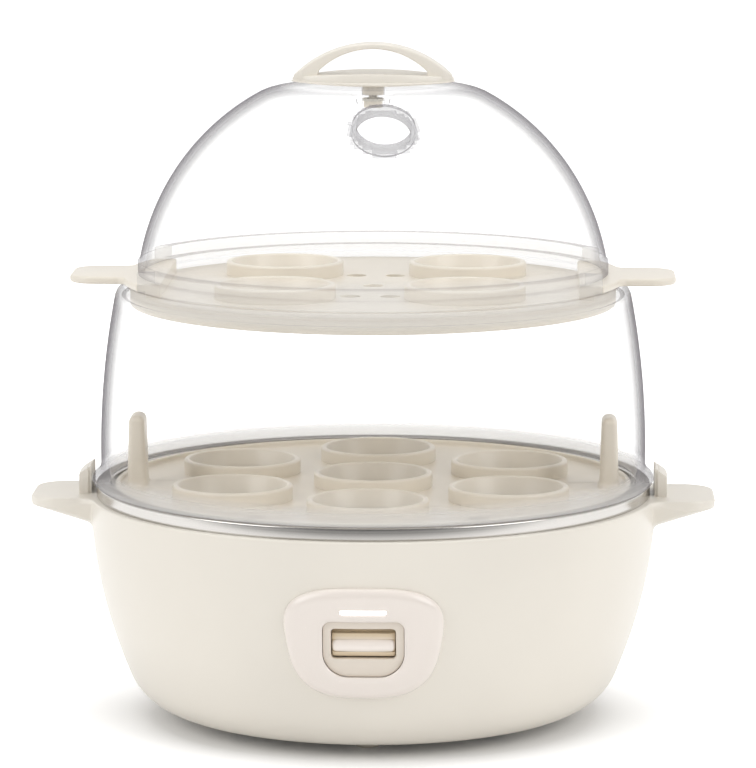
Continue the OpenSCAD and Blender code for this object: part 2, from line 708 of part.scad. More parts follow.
// ---- trays ----
module seat_body(z) {
  translate([0, 0, z - seat_drop])
    cylinder(r = seat_r + collar_t, h = seat_drop + tray_t + seat_collar_h);
}
module seat_hollow(z) {
  translate([0, 0, z - seat_drop - eps])
    cylinder(r1 = seat_hole_r, r2 = seat_r, h = seat_drop + tray_t + seat_collar_h + 2 * eps);
}
module grip_post() {
  top = lower_top + post_h - post_round;
  translate([0, post_w / 2, 0]) rotate([90, 0, 0]) linear_extrude(post_w) union() {
    polygon([[post_x - post_round - 0.6, lower_top - 1], [post_x + post_round + 0.6, lower_top - 1],
      [post_x + post_round, top], [post_x - post_round, top]]);
    translate([post_x, top]) circle(post_round);
  }
}
module lower_tray() {
  color(cream) difference() {
    union() {
      translate([0, 0, tray_z]) cylinder(r = lower_tray_r, h = tray_t);
      translate([0, 0, tray_z]) ring(lower_tray_r, lower_tray_r - tray_rim_t, tray_t + tray_rim_h);
      around(6, lower_seat_ring_r, -90) seat_body(tray_z);
      seat_body(tray_z);
      both_sides() grip_post();
    }
    around(6, lower_seat_ring_r, -90) seat_hollow(tray_z);
    seat_hollow(tray_z);
    around(6, lower_hole_ring_r, -60) translate([0, 0, tray_z - 1])
      cylinder(d = lower_hole_d, h = tray_t + 2);
    for (a = [60, 120, 240, 300]) rotate([0, 0, a]) translate([outer_hole_ring_r, 0, tray_z - 1])
      cylinder(d = outer_hole_d, h = tray_t + 2);
  }
}
module middle_tier() {
  inner = reverse(tier_line(clear_wall));
  color(clear) spin(concat(
    [[foot_flange_r - 6.2, tier_z], [foot_flange_r, tier_z], [foot_flange_r, tier_z + foot_flange_t],
      [foot_flange_r - 1.8, tier_z + foot_flange_t + 1.4]],
    tier_line(0),
    [[tier_r - 6, shoulder_z], [neck_r + 0.6, shoulder_z + 0.2], [neck_r, shoulder_z + 0.8],
      [neck_r, neck_top], [neck_r - clear_wall, neck_top], [neck_r - clear_wall, shoulder_z - clear_wall]],
    inner));
}
// The part of the upper tray near a handle: everything beyond the saddle's inner edge
module saddle_zone(inset, z0, z1) {
  y = saddle_half - inset;
  for (s = [-1, 1]) translate([s * (saddle_x + inset + 20), 0, (z0 + z1) / 2])
    cube([40, 2 * y, z1 - z0], center = true);
}
module upper_tray() {
  color(cream) difference() {
    union() {
      translate([0, 0, upper_z]) cylinder(r = skirt_r, h = tray_t);
      translate([0, 0, upper_z - skirt_drop]) ring(skirt_r, skirt_r - skirt_t, skirt_drop + eps);
      around(4, upper_seat_ring_r, 45) seat_body(upper_z);
      intersection() {
        translate([0, 0, upper_z]) cylinder(r = skirt_r, h = upper_top - upper_z);
        saddle_zone(0, upper_z, upper_top + 1);
      }
      intersection() {
        translate([0, 0, wing_z]) cylinder(r = neck_r, h = wing_t);
        saddle_zone(0, upper_z, upper_top + 1);
      }
      both_sides() translate([0, 0, wing_z]) linear_extrude(wing_t)
        handle_plan(wing_reach, wing_w, wing_corner, saddle_x + 4);
    }
    around(4, upper_seat_ring_r, 45) seat_hollow(upper_z);
    intersection() {
      translate([0, 0, upper_z - skirt_drop - 1])
        cylinder(r = skirt_r - skirt_t, h = wing_z - upper_z + skirt_drop + 1);
      saddle_zone(skirt_t, upper_z - skirt_drop - 2, wing_z);
    }
    translate([0, 0, upper_z - 1]) cylinder(r = steam_hole_r, h = tray_t + 2);
    for (a = [0 : 90 : 270], b = [-1, 1]) rotate([0, 0, a + b * steam_turn])
      translate([steam_ring_r, 0, upper_z - 1]) cylinder(r = steam_hole_r, h = tray_t + 2);
  }
}

// ---- lid ----
module vent_frame() {
  translate([0, 0, dome_cz]) rotate([0, 0, vent_turn]) rotate([90 - vent_elev, 0, 0]) children();
}
module dome_shell() {
  spin(concat(
    dome_line(0, dome_z),
    [[top_flat_r, dome_top], [pad_r + pad_h / 2, dome_top], [pad_r, pad_top], [0, pad_top],
      [0, dome_top - clear_wall]],
    reverse(dome_line(clear_wall, dome_z))));
}
// Stepped rim of the lid: its lower half slips over the upper tray and stands on the clear ring
module lid_flange() {
  difference() {
    translate([0, 0, wing_z]) ring(neck_r, dome_r - clear_wall, flange_h + dome_z - wing_z);
    translate([0, 0, wing_z - 1]) cylinder(r = neck_r - clear_wall, h = dome_z - wing_z + 1);
    difference() {
      saddle_zone(-0.6, wing_z - 1, dome_z + flange_h + 1);
      cylinder(r = dome_r - 0.6, h = dome_top);
    }
  }
}
module dome_lid() {
  color(clear) difference() {
    union() {
      dome_shell();
      lid_flange();
      vent_frame() translate([0, 0, dome_r - vent_len])
        cylinder(d = vent_bore + 2 * vent_wall, h = vent_len + 0.8);
      translate([0, 0, boss_z]) cylinder(r1 = boss_low_r, r2 = boss_top_r, h = pad_top - boss_z - 1);
    }
    vent_frame() translate([0, 0, dome_r - 20]) cylinder(d = vent_bore, h = 30);
    translate([0, 0, web_z + web_t]) cylinder(r = spigot_r + fixed_gap, h = pad_top - web_z);
    translate([0, 0, boss_z - 1]) cylinder(r = spigot_r + fixed_gap, h = web_z - boss_z + 1);
    translate([0, 0, boss_z]) cylinder(d = screw_hole_d, h = pad_top - boss_z);
  }
}
// Plan of the handle's plate: a pointed oval with blunt ends
module knob_plan() {
  oval_r = (pow(knob_r + 2, 2) + pow(knob_half, 2)) / (2 * knob_half);
  intersection() {
    translate([0, oval_r - knob_half]) circle(oval_r);
    translate([0, knob_half - oval_r]) circle(oval_r);
    circle(knob_r);
  }
}
module lid_handle() {
  color(cream) difference() {
    union() {
      translate([0, 0, knob_z]) linear_extrude(knob_t) knob_plan();
      translate([0, arch_w / 2, 0]) rotate([90, 0, 0]) linear_extrude(arch_w) intersection() {
        difference() {
          translate([0, knob_top + arch_rise - arch_top_r]) circle(arch_top_r);
          translate([0, knob_top + arch_rise - arch_t - arch_open_r]) circle(arch_open_r);
        }
        translate([-knob_r + 1, knob_z + 1]) square([2 * knob_r - 2, arch_rise + knob_t]);
      }
      translate([0, 0, web_z + web_t]) cylinder(r = spigot_r, h = knob_z - web_z);
    }
    translate([0, 0, boss_z]) cylinder(d = screw_d, h = pad_top - boss_z);
  }
}
module handle_washer() {
  color("#d9d6cf") translate([0, 0, web_z - washer_t]) ring(spigot_r - 0.1, screw_hole_d / 2, washer_t);
}
module handle_screw() {
  z = web_z - washer_t;
  color(cream) {
    translate([0, 0, z - screw_head_h]) cylinder(d = screw_head_d, h = screw_head_h);
    translate([0, 0, z]) cylinder(d = screw_d - 0.3, h = pad_top - 0.5 - z);
  }
}

base_shell();
bottom_cover();
foot_pads();
cover_screws();
heating_plate();
plate_gasket();
heat_spreader();
heating_element();
element_terminals();
plate_studs();
stud_nuts();
heat_shield();
shield_screws();
thermostat();
thermostat_clip();
thermal_fuse();
switch_bezel();
switch_frame();
rocker();
rocker_pin();
switch_body();
switch_terminals();
indicator_lens();
indicator_lamp();
control_board();
board_components();
buzzer();
board_screws();
terminal_block();
cord_gland();
mains_leads();
lower_tray();
middle_tier();
upper_tray();
dome_lid();
lid_handle();
handle_washer();
handle_screw();
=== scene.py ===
"""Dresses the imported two-tier egg cooker: base, plate, switch, trays, clear ring, lid and stage."""
import json
import math

import bmesh
import bpy
from mathutils import Matrix, Vector


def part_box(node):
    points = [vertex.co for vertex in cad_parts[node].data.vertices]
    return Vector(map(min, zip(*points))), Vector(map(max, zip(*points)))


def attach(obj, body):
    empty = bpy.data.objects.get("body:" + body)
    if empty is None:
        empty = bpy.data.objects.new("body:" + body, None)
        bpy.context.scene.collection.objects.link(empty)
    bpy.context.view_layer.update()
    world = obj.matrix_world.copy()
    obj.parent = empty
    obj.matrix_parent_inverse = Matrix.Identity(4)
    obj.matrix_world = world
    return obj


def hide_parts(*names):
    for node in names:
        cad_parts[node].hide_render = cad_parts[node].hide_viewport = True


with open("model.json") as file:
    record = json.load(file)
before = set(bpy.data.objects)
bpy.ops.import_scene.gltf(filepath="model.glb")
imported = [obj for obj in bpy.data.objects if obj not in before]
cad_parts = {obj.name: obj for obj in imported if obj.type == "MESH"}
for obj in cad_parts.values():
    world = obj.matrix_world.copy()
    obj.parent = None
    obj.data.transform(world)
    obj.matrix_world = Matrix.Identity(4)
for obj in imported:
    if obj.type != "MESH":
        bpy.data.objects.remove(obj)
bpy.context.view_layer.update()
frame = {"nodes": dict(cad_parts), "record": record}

bl_info = {
    "name": "Two-tier egg cooker",
    "version": (1, 0, 0),
    "blender": (4, 5, 0),
    "location": "3D View > Sidebar > Egg cooker",
    "description": "Builds the shells, trays, switch and clear covers of a two-tier egg cooker",
    "category": "Object",
}

MM = 0.001
LOW, HIGH = 0, 1


# ---- values ----

def linear(code):
    """An sRGB hex colour as the linear values that a shader takes."""
    channels = [int(code[i:i + 2], 16) / 255 for i in (1, 3, 5)]
    return [c / 12.92 if c <= 0.04045 else ((c + 0.055) / 1.055) ** 2.4 for c in channels] + [1.0]


def length(name, description, millimetres):
    return bpy.props.FloatProperty(name=name, description=description, default=millimetres * MM,
                                   min=0.0, precision=5, unit="LENGTH")


def tone(name, description, code):
    return bpy.props.FloatVectorProperty(name=name, description=description, default=linear(code),
                                         size=4, min=0.0, max=1.0, subtype="COLOR")


def turn(name, description, degrees):
    return bpy.props.FloatProperty(name=name, description=description,
                                   default=math.radians(degrees), subtype="ANGLE")


def edge(node, side, axis):
    """One edge of a CAD node's box, in millimetres."""
    return getattr(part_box(node)[side], axis) / MM


class Millimetres:
    """Reads the lengths of a property group in millimetres."""

    def __init__(self, group):
        self.group = group

    def __getattr__(self, name):
        return getattr(self.group, name) / MM


# ---- the sizes and colours that a user would change ----

class CookerBaseSizes(bpy.types.PropertyGroup):
    radius: length("Radius", "Radius of the base at its top edge", -edge("base_shell", LOW, "y"))
    top: length("Top edge", "Height of the base's top edge", 72.0)
    underside: length("Underside", "Height of the base's underside", edge("base_shell", LOW, "z"))
    side_curve: length("Side curve", "Radius of the side wall's long curve", 157.0)
    side_lean: turn("Side lean", "Lean of the side wall at the top edge", 1.5)
    corner: length("Corner", "Radius between wall and underside", 19.0)
    wall: length("Wall", "Thickness of the shell", 2.6)
    cover_radius: length("Cover radius", "Radius of the hole for the bottom cover", 58.8)
    reach: length("Handle reach", "Distance of a handle's tip from the centre",
                  edge("base_shell", HIGH, "x"))
    handle_width: length("Handle width", "Width of a handle", 34.0)
    handle_corner: length("Handle corner", "Radius of a handle's corners, seen from above", 9.0)
    handle_flare: length("Handle flare", "Radius where a handle runs into the wall", 6.0)
    handle_tip: length("Handle tip", "Thickness of a handle at its tip", 3.0)
    tab_top: length("Tab top", "Height of the locating tabs", edge("base_shell", HIGH, "z"))
    tab_width: length("Tab width", "Width of a locating tab", 16.0)
    tab_inside: length("Tab inside", "Radius of a locating tab's inner face", 90.3)
    inlet_z: length("Inlet height", "Height of the cord boss's axis", 26.0)
    inlet_back: length("Inlet depth", "How far the cord boss is rooted inside the wall", 9.1)
    foot_ring: length("Foot ring", "Radius of the ring of feet", 50.0)
    screw_ring: length("Screw ring", "Radius of the ring of cover screws", 54.8)


class CookerSwitchSizes(bpy.types.PropertyGroup):
    height: length("Height", "Height of the rocker's pin", 40.2)
    half_width: length("Half width", "Half width of the bezel", 23.8)
    half_height: length("Half height", "Half height of the bezel", 18.0)
    proud: length("Proud", "Stand of the bezel proud of the wall", 2.6)
    recess_width: length("Recess width", "Width of the recess round the rocker", 25.0)
    recess_height: length("Recess height", "Height of that recess", 18.0)
    opening_width: length("Opening width", "Width of the rocker's opening", 19.7)
    opening_height: length("Opening height", "Height of the rocker's opening", 9.6)
    window_width: length("Window width", "Length of the indicator window", 14.9)
    window_height: length("Window height", "Height of the indicator window", 2.0)
    window_rise: length("Window rise", "Height of the window over the pin", 10.2)
    recess_drop: length("Recess drop", "How far the recess's middle lies under the pin", 1.8)
    nose: length("Nose radius", "Radius of the rocker's nose", 2.1)
    face: length("Face radius", "Radius of the rocker's curved face", 6.3)
    face_half: length("Face half height", "Half height of that face", 3.6)


class CookerTraySizes(bpy.types.PropertyGroup):
    lower_radius: length("Lower radius", "Radius of the lower tray", edge("lower_tray", HIGH, "x"))
    lower_z: length("Lower height", "Height of the lower tray's underside", 72.0)
    thickness: length("Thickness", "Thickness of both trays", 2.0)
    seat_radius: length("Seat radius", "Inner radius of an egg seat at its top", 17.2)
    collar_height: length("Collar height", "Height of a seat's collar over its tray", 4.5)
    lower_ring: length("Lower seats", "Radius of the lower ring of seats", 50.3)
    upper_ring: length("Upper seats", "Radius of the upper ring of seats", 42.0)
    post_top: length("Post top", "Height of the grip posts", edge("lower_tray", HIGH, "z"))
    handle_reach: length("Handle reach", "Reach of an upper handle", edge("upper_tray", HIGH, "x"))
    handle_width: length("Handle width", "Width of an upper handle", 30.0)
    handle_z: length("Handle height", "Height of an upper handle's underside", 140.5)
    handle_thickness: length("Handle thickness", "Thickness of an upper handle", 2.4)
    upper_z: length("Upper height", "Height of the upper tray's underside", 136.5)
    skirt_radius: length("Skirt radius", "Radius of the upper tray's skirt", 77.4)
    collar_wall: length("Collar wall", "Thickness of a seat's collar", 1.8)
    saddle_x: length("Saddle place", "Distance of a saddle's inner edge from the centre", 65.4)
    saddle_half: length("Saddle half length", "Half length of a saddle, front to back", 33.0)
    steam_ring: length("Steam holes", "Radius of the upper tray's ring of steam holes", 26.7)
    steam_turn: turn("Steam hole turn", "Turn of a steam hole from the nearest axis", 13.6)
    inner_holes: length("Inner holes", "Radius of the lower tray's inner holes", 29.0)
    outer_holes: length("Outer holes", "Radius of the lower tray's outer holes", 69.0)


class CookerCoverSizes(bpy.types.PropertyGroup):
    wall: length("Wall", "Thickness of the clear walls", 2.0)
    ring_radius: length("Ring radius", "Largest radius of the clear ring's wall", 87.1)
    ring_widest: length("Widest height", "Height of that largest radius", 86.0)
    ring_curve: length("Ring curve", "Radius of the clear ring's curve", 260.0)
    ring_foot: length("Ring foot", "Height of the clear ring's underside",
                      edge("middle_tier", LOW, "z"))
    foot_radius: length("Foot radius", "Radius of the clear ring's foot",
                        edge("middle_tier", HIGH, "x"))
    shoulder: length("Shoulder", "Height of the clear ring's shoulder", 137.8)
    neck_radius: length("Neck radius", "Radius of the clear ring's neck", 80.0)
    neck_top: length("Neck top", "Height of the neck's edge", edge("middle_tier", HIGH, "z"))
    dome_radius: length("Dome radius", "Outer radius of the dome", 75.5)
    dome_foot: length("Dome foot", "Height of the dome's lower edge", 143.2)
    dome_centre: length("Dome centre", "Height of the dome's centre", 134.1)
    dome_top: length("Dome top", "Height of the dome's flat top", 202.1)
    flange: length("Flange", "Height of the flange over the dome's edge", 3.7)
    pad_radius: length("Pad radius", "Radius of the pad under the handle", 23.5)
    pad_top: length("Pad top", "Height of that pad", edge("dome_lid", HIGH, "z"))
    boss_low: length("Boss foot", "Height of the handle boss's lower end", 196.4)
    boss_web: length("Boss web", "Height of the web's underside in that boss", 198.5)
    boss_bore: length("Boss bore", "Radius of the boss's bore", 3.6)
    saddle_reach: length("Notch radius", "Radius inside which the flange stays whole", 74.9)
    saddle_gap: length("Notch half length", "Half length of the flange's notch", 33.6)
    vent_bore: length("Vent bore", "Bore of the steam vent", 17.0)
    vent_elevation: turn("Vent elevation", "Elevation of the steam vent", 52.0)
    vent_turn: turn("Vent turn", "Turn of the steam vent about the dome", 6.0)
    knob_half: length("Knob half length", "Half length of the handle's plate",
                      edge("lid_handle", HIGH, "x"))
    knob_depth: length("Knob half depth", "Half depth of the handle's plate", 12.0)
    knob_z: length("Knob height", "Height of the handle's underside", 203.0)
    knob_thickness: length("Knob thickness", "Thickness of the handle's plate", 3.9)
    arch_top: length("Arch top", "Height of the arch", edge("lid_handle", HIGH, "z"))


class CookerTones(bpy.types.PropertyGroup):
    shell: tone("Shell", "Warm cream of the base", "#e9e3d8")
    bezel: tone("Bezel", "Pale cream of the bezel", "#ebe2da")
    frame: tone("Frame", "Cream of the rocker's frame", "#e1d7ca")
    rocker: tone("Rocker", "Cream of the rocker", "#f3eae2")
    # Painted shade: this tan stands in for the warm shadow on the rocker's barrel inside the switch
    rocker_shade: tone("Rocker barrel", "Tan of the rocker's barrel", "#f0dfc3")
    tray: tone("Trays", "Off-white cream of both trays", "#e7dfd1")
    # Painted shade: clear SAN has no colour of its own; this grey is laid on walls seen edge on
    clear_edge: tone("Clear edge", "Grey that clear walls show on edge", "#8f8c91")
    # Painted glare: a pale grey veil laid on the thick clear rims
    clear_glare: tone("Clear haze", "Pale grey of thick clear rims", "#e8e6e3")
    window: tone("Window", "White of the lit window", "#ffffff")
    steel: tone("Steel", "Spun stainless steel", "#c6c3bf")


# ---- sections and solids, in millimetres ----

def arc(cx, cz, radius, start, end, steps):
    """Points of an arc in a section, from one angle to another in degrees."""
    angles = [math.radians(start + (end - start) * i / steps) for i in range(steps + 1)]
    return [(cx + radius * math.cos(a), cz + radius * math.sin(a)) for a in angles]


def rounded(corners, steps=5):
    """A closed outline through (x, z, radius) corners, each turned by an arc of its radius. A
    radius of nothing keeps the corner, as one point."""
    outline = []
    for i, (x, z, radius) in enumerate(corners):
        here = Vector((x, z))
        before = Vector(corners[i - 1][:2]) - here
        after = Vector(corners[(i + 1) % len(corners)][:2]) - here
        if not radius:
            outline.append((x, z))
            continue
        half = before.angle(after) / 2
        room = 0.48 * min(before.length, after.length)
        run = min(radius / math.tan(half), room) if half < 1.56 else 0.0
        if run < 1e-4:
            outline += [(x, z)] * (steps + 1)
            continue
        inwards = (before.normalized() + after.normalized()).normalized()
        middle = here + inwards * run / math.cos(half)
        first = here + before.normalized() * run - middle
        last = here + after.normalized() * run - middle
        sweep = first.angle(last)
        for k in range(steps + 1):
            share = sweep * k / steps
            spoke = (first * math.sin(sweep - share) + last * math.sin(share)) / math.sin(sweep)
            outline.append(tuple(middle + spoke))
    return outline


def oblong(half, low, high, corners, steps):
    """A rounded rectangle about the middle line. Its corners are radii, the top pair first."""
    upper, lower = corners
    return rounded([(-half, low, lower), (half, low, lower), (half, high, upper),
                    (-half, high, upper)], steps)


def solid(name, bm):
    """Turns a bmesh in millimetres into a closed piece in metres with its faces outwards."""
    bmesh.ops.remove_doubles(bm, verts=bm.verts, dist=0.002)
    bmesh.ops.dissolve_degenerate(bm, edges=bm.edges, dist=0.001)
    bmesh.ops.recalc_face_normals(bm, faces=bm.faces)
    bmesh.ops.scale(bm, vec=(MM, MM, MM), verts=bm.verts)
    return placed(name, bm)


def placed(name, bm):
    """A new object in the scene with the mesh of a bmesh."""
    mesh = bpy.data.meshes.new(name)
    bm.to_mesh(mesh)
    bm.free()
    piece = bpy.data.objects.new(name, mesh)
    bpy.context.scene.collection.objects.link(piece)
    return piece


def dropped(piece):
    """Removes a piece that has been used up, with its mesh."""
    spent = piece.data
    bpy.data.objects.remove(piece)
    bpy.data.meshes.remove(spent)


def loft(name, rings, closed):
    """A skin over equal rings of points: closed on itself, or capped at both ends."""
    bm = bmesh.new()
    grid = [[bm.verts.new(point) for point in ring] for ring in rings]
    count = len(grid[0])
    for i in range(len(grid) if closed else len(grid) - 1):
        here, there = grid[i], grid[(i + 1) % len(grid)]
        for j in range(count):
            k = (j + 1) % count
            bm.faces.new((here[j], here[k], there[k], there[j]))
    if not closed:
        bm.faces.new(grid[0])
        bm.faces.new(grid[-1])
    return solid(name, bm)


def spun(name, section, steps=160, start=0.0, sweep=360.0):
    """A closed section of (radius, height) points turned about the upright axis."""
    full = sweep >= 360.0
    angles = [math.radians(start + sweep * i / steps) for i in range(steps if full else steps + 1)]
    rings = [[(r * math.cos(a), r * math.sin(a), z) for r, z in section] for a in angles]
    return loft(name, rings, full)


def prism(name, outline, profile):
    """An outline seen from above, raised through (inset, height) steps and capped."""
    rings = []
    for inset, z in profile:
        rings.append([(*inset_point(outline, i, inset), z) for i in range(len(outline))])
    return loft(name, rings, False)


def edged(low, high, radius):
    """Steps for a prism whose lower and upper rims are turned by arcs of one radius."""
    angles = [math.radians(22.5 * k) for k in range(5)]
    below = [(radius * (1 - math.sin(a)), low + radius * (1 - math.cos(a))) for a in angles]
    return below + [(x, low + high - z) for x, z in reversed(below)]


def inset_point(outline, i, distance):
    """A point of a closed outline moved inwards, square to the outline."""
    here = Vector(outline[i])
    count = len(outline)
    ahead = Vector(outline[(i + 1) % count])
    behind = Vector(outline[i - 1])
    step = 1
    while (ahead - behind).length < 1e-6 and step < count:
        step += 1
        ahead = Vector(outline[(i + step) % count])
    along = (ahead - behind).normalized()
    return here + Vector((-along.y, along.x)) * distance


def combine(piece, other, operation):
    """Unites, cuts or intersects a closed piece with another, which is then removed."""
    modifier = piece.modifiers.new(operation, "BOOLEAN")
    modifier.operation = operation
    modifier.solver = "MANIFOLD"
    modifier.object = other
    bake(piece)
    dropped(other)
    return piece


def bake(piece):
    """Turns what a piece's modifiers give into its plain mesh."""
    bpy.context.view_layer.update()
    result = bpy.data.meshes.new_from_object(piece.evaluated_get(
        bpy.context.evaluated_depsgraph_get()))
    old = piece.data
    piece.modifiers.clear()
    piece.data = result
    result.name = piece.name
    bpy.data.meshes.remove(old)


def moved(piece, matrix):
    """Moves a piece's mesh, and leaves its object at the origin."""
    piece.data.transform(matrix)
    piece.data.update()
    return piece


def shift(x, y, z):
    return Matrix.Translation(Vector((x, y, z)) * MM)


def spin_z(degrees):
    return Matrix.Rotation(math.radians(degrees), 4, "Z")


def dress(context, piece, body, slot, nodes, sharp=35.0, look=None):
    """Shades a piece, gives it the finish of its slot, or another look, and tells the frame what
    it stands for."""
    piece.data.shade_smooth()
    piece.data.set_sharp_from_angle(angle=math.radians(sharp))
    piece.data.materials.clear()
    piece.data.materials.append(finish(context, look or slot))
    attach(piece, body)
    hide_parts(*nodes)


def line_inside(piece, material, height):
    """Gives the faces that look inwards, towards a point on the axis, a second material."""
    piece.data.materials.append(material)
    middle = Vector((0, 0, height * MM))
    for face in piece.data.polygons:
        away = face.center - middle
        if face.normal.dot(away.normalized()) < -0.3:
            face.material_index = 1


# ---- materials ----

def add(tree, kind, settings=None, inputs=None):
    """Adds a node, sets its properties, and fills or links its inputs."""
    node = tree.nodes.new(kind)
    for key, value in (settings or {}).items():
        setattr(node, key, value)
    for key, value in (inputs or {}).items():
        if isinstance(value, bpy.types.NodeSocket):
            tree.links.new(value, node.inputs[key])
        else:
            node.inputs[key].default_value = value
    return node


def new_material(name):
    """An empty node material, its tree, its output and the place on the piece."""
    material = bpy.data.materials.new(name)
    material.use_nodes = True
    tree = material.node_tree
    tree.nodes.clear()
    output = add(tree, "ShaderNodeOutputMaterial")
    return material, tree, output, add(tree, "ShaderNodeTexCoord").outputs["Object"]


def noise(tree, place, scale, detail=2.0, roughness=0.5):
    return add(tree, "ShaderNodeTexNoise", inputs={
        "Vector": place, "Scale": scale, "Detail": detail, "Roughness": roughness}).outputs["Fac"]


def bump(tree, height, strength, depth):
    """A normal that a height disturbs, its depth in millimetres."""
    return add(tree, "ShaderNodeBump", inputs={
        "Height": height, "Strength": strength, "Distance": depth * MM}).outputs["Normal"]


def along(tree, place, axis):
    return add(tree, "ShaderNodeSeparateXYZ", inputs={"Vector": place}).outputs[axis]


def mapped(tree, value, start, end, low=0.0, high=1.0):
    """A value that runs from low to high as another runs from start to end."""
    return add(tree, "ShaderNodeMapRange", {"clamp": True}, {
        "Value": value, "From Min": start, "From Max": end, "To Min": low,
        "To Max": high}).outputs["Result"]


def sum_of(tree, operation, first, second, clamp=False):
    """The result of a sum on two values, such as MULTIPLY."""
    return add(tree, "ShaderNodeMath", {"operation": operation, "use_clamp": clamp},
               {0: first, 1: second}).outputs["Value"]


def mixed(tree, share, first, second):
    """Two colours mixed. A Mix node has a result of each type, so the colour's is looked up."""
    mix = add(tree, "ShaderNodeMix", {"data_type": "RGBA"}, {
        "Factor": share, "A": first, "B": second})
    return next(o for o in mix.outputs if o.type == "RGBA")


def principled(tree, inputs):
    return add(tree, "ShaderNodeBsdfPrincipled", inputs=inputs).outputs["BSDF"]


def ramp(tree, factor, stops):
    """A colour ramp through (place, colour) stops."""
    node = add(tree, "ShaderNodeValToRGB", inputs={"Fac": factor})
    elements = node.color_ramp.elements
    while len(elements) < len(stops):
        elements.new(0.5)
    for element, (place, colour) in zip(elements, stops):
        element.position = place
        element.color = colour
    return node.outputs["Color"]


def grey(value):
    return (value, value, value, 1.0)


def shaded(colour, factor):
    return [min(1.0, c * factor) for c in colour[:3]] + [1.0]


def moulded(name, colour, roughness=0.38, grain_mm=0.5, grain=0.05, drift=0.03, coat=0.12):
    """Injection-moulded plastic. The eye sees a satin skin with the faint grain of a spark-eroded
    mould, and a slow drift of tone over each wall. The real grain is near 0.1 mm; it is drawn
    coarser, so that it shows at all."""
    material, tree, output, place = new_material(name)
    fine = noise(tree, place, 1.0 / (grain_mm * MM), 3.0, 0.6)
    slow = noise(tree, place, 1.0 / (45.0 * MM), 1.0)
    tint = ramp(tree, slow, [(0.3, shaded(colour, 1 - drift)),
                             (0.7, shaded(colour, 1 + drift / 3))])
    gloss = ramp(tree, fine, [(0.3, grey(roughness - 0.04)), (0.7, grey(roughness + 0.04))])
    body = principled(tree, {
        "Base Color": tint, "Roughness": gloss, "Normal": bump(tree, fine, grain, 0.06),
        "IOR": 1.49, "Coat Weight": coat, "Coat Roughness": 0.18})
    tree.links.new(body, output.inputs["Surface"])
    return material


def rocker_plastic(tones, pin_y, nose_y):
    """Polished ABS rocker: the nose is bright cream, and the barrel behind it is painted tan, as
    painted shade for the warm shadow that it lies in inside the switch."""
    material, tree, output, place = new_material("polished_abs_rocker")
    share = mapped(tree, along(tree, place, "Y"), nose_y, pin_y)
    # The colour turns from the cream nose to the painted tan shade with depth towards the pin
    tint = ramp(tree, share, [(0.16, list(tones.rocker)), (0.24, list(tones.rocker_shade))])
    body = principled(tree, {
        "Base Color": tint, "Roughness": 0.24, "IOR": 1.52, "Coat Weight": 0.25,
        "Coat Roughness": 0.12, "Normal": bump(tree, noise(tree, place, 900.0), 0.02, 0.05)})
    tree.links.new(body, output.inputs["Surface"])
    return material


def by_height(tree, height, bands):
    """A grey value that follows (height in mm, value) bands."""
    low, high = bands[0][0], bands[-1][0]
    share = mapped(tree, height, low * MM, high * MM)
    return ramp(tree, share, [((z - low) / (high - low), grey(amount)) for z, amount in bands])


def clear_styrene(name, tones, fade, glare_bands, edge_bands):
    """Moulded clear SAN. The eye looks straight through a wall that faces it. Where an upright wall
    turns edge on, grey is painted on it as painted shade, and the thick rims get a pale painted
    glare. The fade gives how the wall greys as it turns away, and the bands, by height in mm, how
    strong the painted glare and the painted grey edge are."""
    material, tree, output, place = new_material(name)
    height = along(tree, place, "Z")
    glare = by_height(tree, height, glare_bands)
    strength = by_height(tree, height, edge_bands)
    # Painted shade: grey is laid on as the wall turns away from the eye
    facing = add(tree, "ShaderNodeLayerWeight", inputs={"Blend": 0.5}).outputs["Facing"]
    rim = ramp(tree, facing, [(share, grey(amount)) for share, amount in fade])
    rim = sum_of(tree, "MULTIPLY", rim, strength)
    cover = sum_of(tree, "MAXIMUM", rim, glare, True)
    tint = mixed(tree, sum_of(tree, "MULTIPLY", rim, 4.0, True), list(tones.clear_glare),
                 list(tones.clear_edge))
    ripple = bump(tree, noise(tree, place, 1.0 / (18.0 * MM), 1.0), 0.04, 0.5)
    body = principled(tree, {
        "Base Color": tint, "Roughness": 0.10, "IOR": 1.57, "Specular IOR Level": 0.0,
        "Normal": ripple})
    gap = add(tree, "ShaderNodeBsdfTransparent")
    blend = add(tree, "ShaderNodeMixShader", inputs={
        "Fac": cover, 1: gap.outputs["BSDF"], 2: body})
    tree.links.new(blend.outputs["Shader"], output.inputs["Surface"])
    return material


def lit_window(tones):
    """Diffusing polycarbonate over a lamp. The eye sees an even white glow."""
    material, tree, output, place = new_material("diffusing_polycarbonate_lit")
    tint = ramp(tree, noise(tree, place, 260.0), [(0.2, shaded(tones.window, 0.96)),
                                                  (0.8, list(tones.window))])
    body = principled(tree, {
        "Base Color": tint, "Roughness": 0.25, "IOR": 1.58, "Emission Color": tint,
        "Emission Strength": 0.45})
    tree.links.new(body, output.inputs["Surface"])
    return material


def metal(name, colour, roughness, scratch_mm, stretch, relief=0.04, drift=0.08):
    """Bare metal with the marks of how it was finished: stretch gives their length along each
    axis, and scratch_mm their spacing."""
    material, tree, output, place = new_material(name)
    laid = add(tree, "ShaderNodeMapping", inputs={
        "Vector": place, "Scale": [1.0 / s for s in stretch]}).outputs["Vector"]
    marks = noise(tree, laid, 1.0 / (scratch_mm * MM))
    tint = ramp(tree, marks, [(0.25, shaded(colour, 1 - drift)),
                              (0.75, shaded(colour, 1 + drift / 2))])
    gloss = ramp(tree, marks, [(0.25, grey(roughness - 0.06)), (0.75, grey(roughness + 0.06))])
    body = principled(tree, {
        "Base Color": tint, "Metallic": 1.0, "Roughness": gloss,
        "Normal": bump(tree, marks, relief, 0.04)})
    tree.links.new(body, output.inputs["Surface"])
    return material


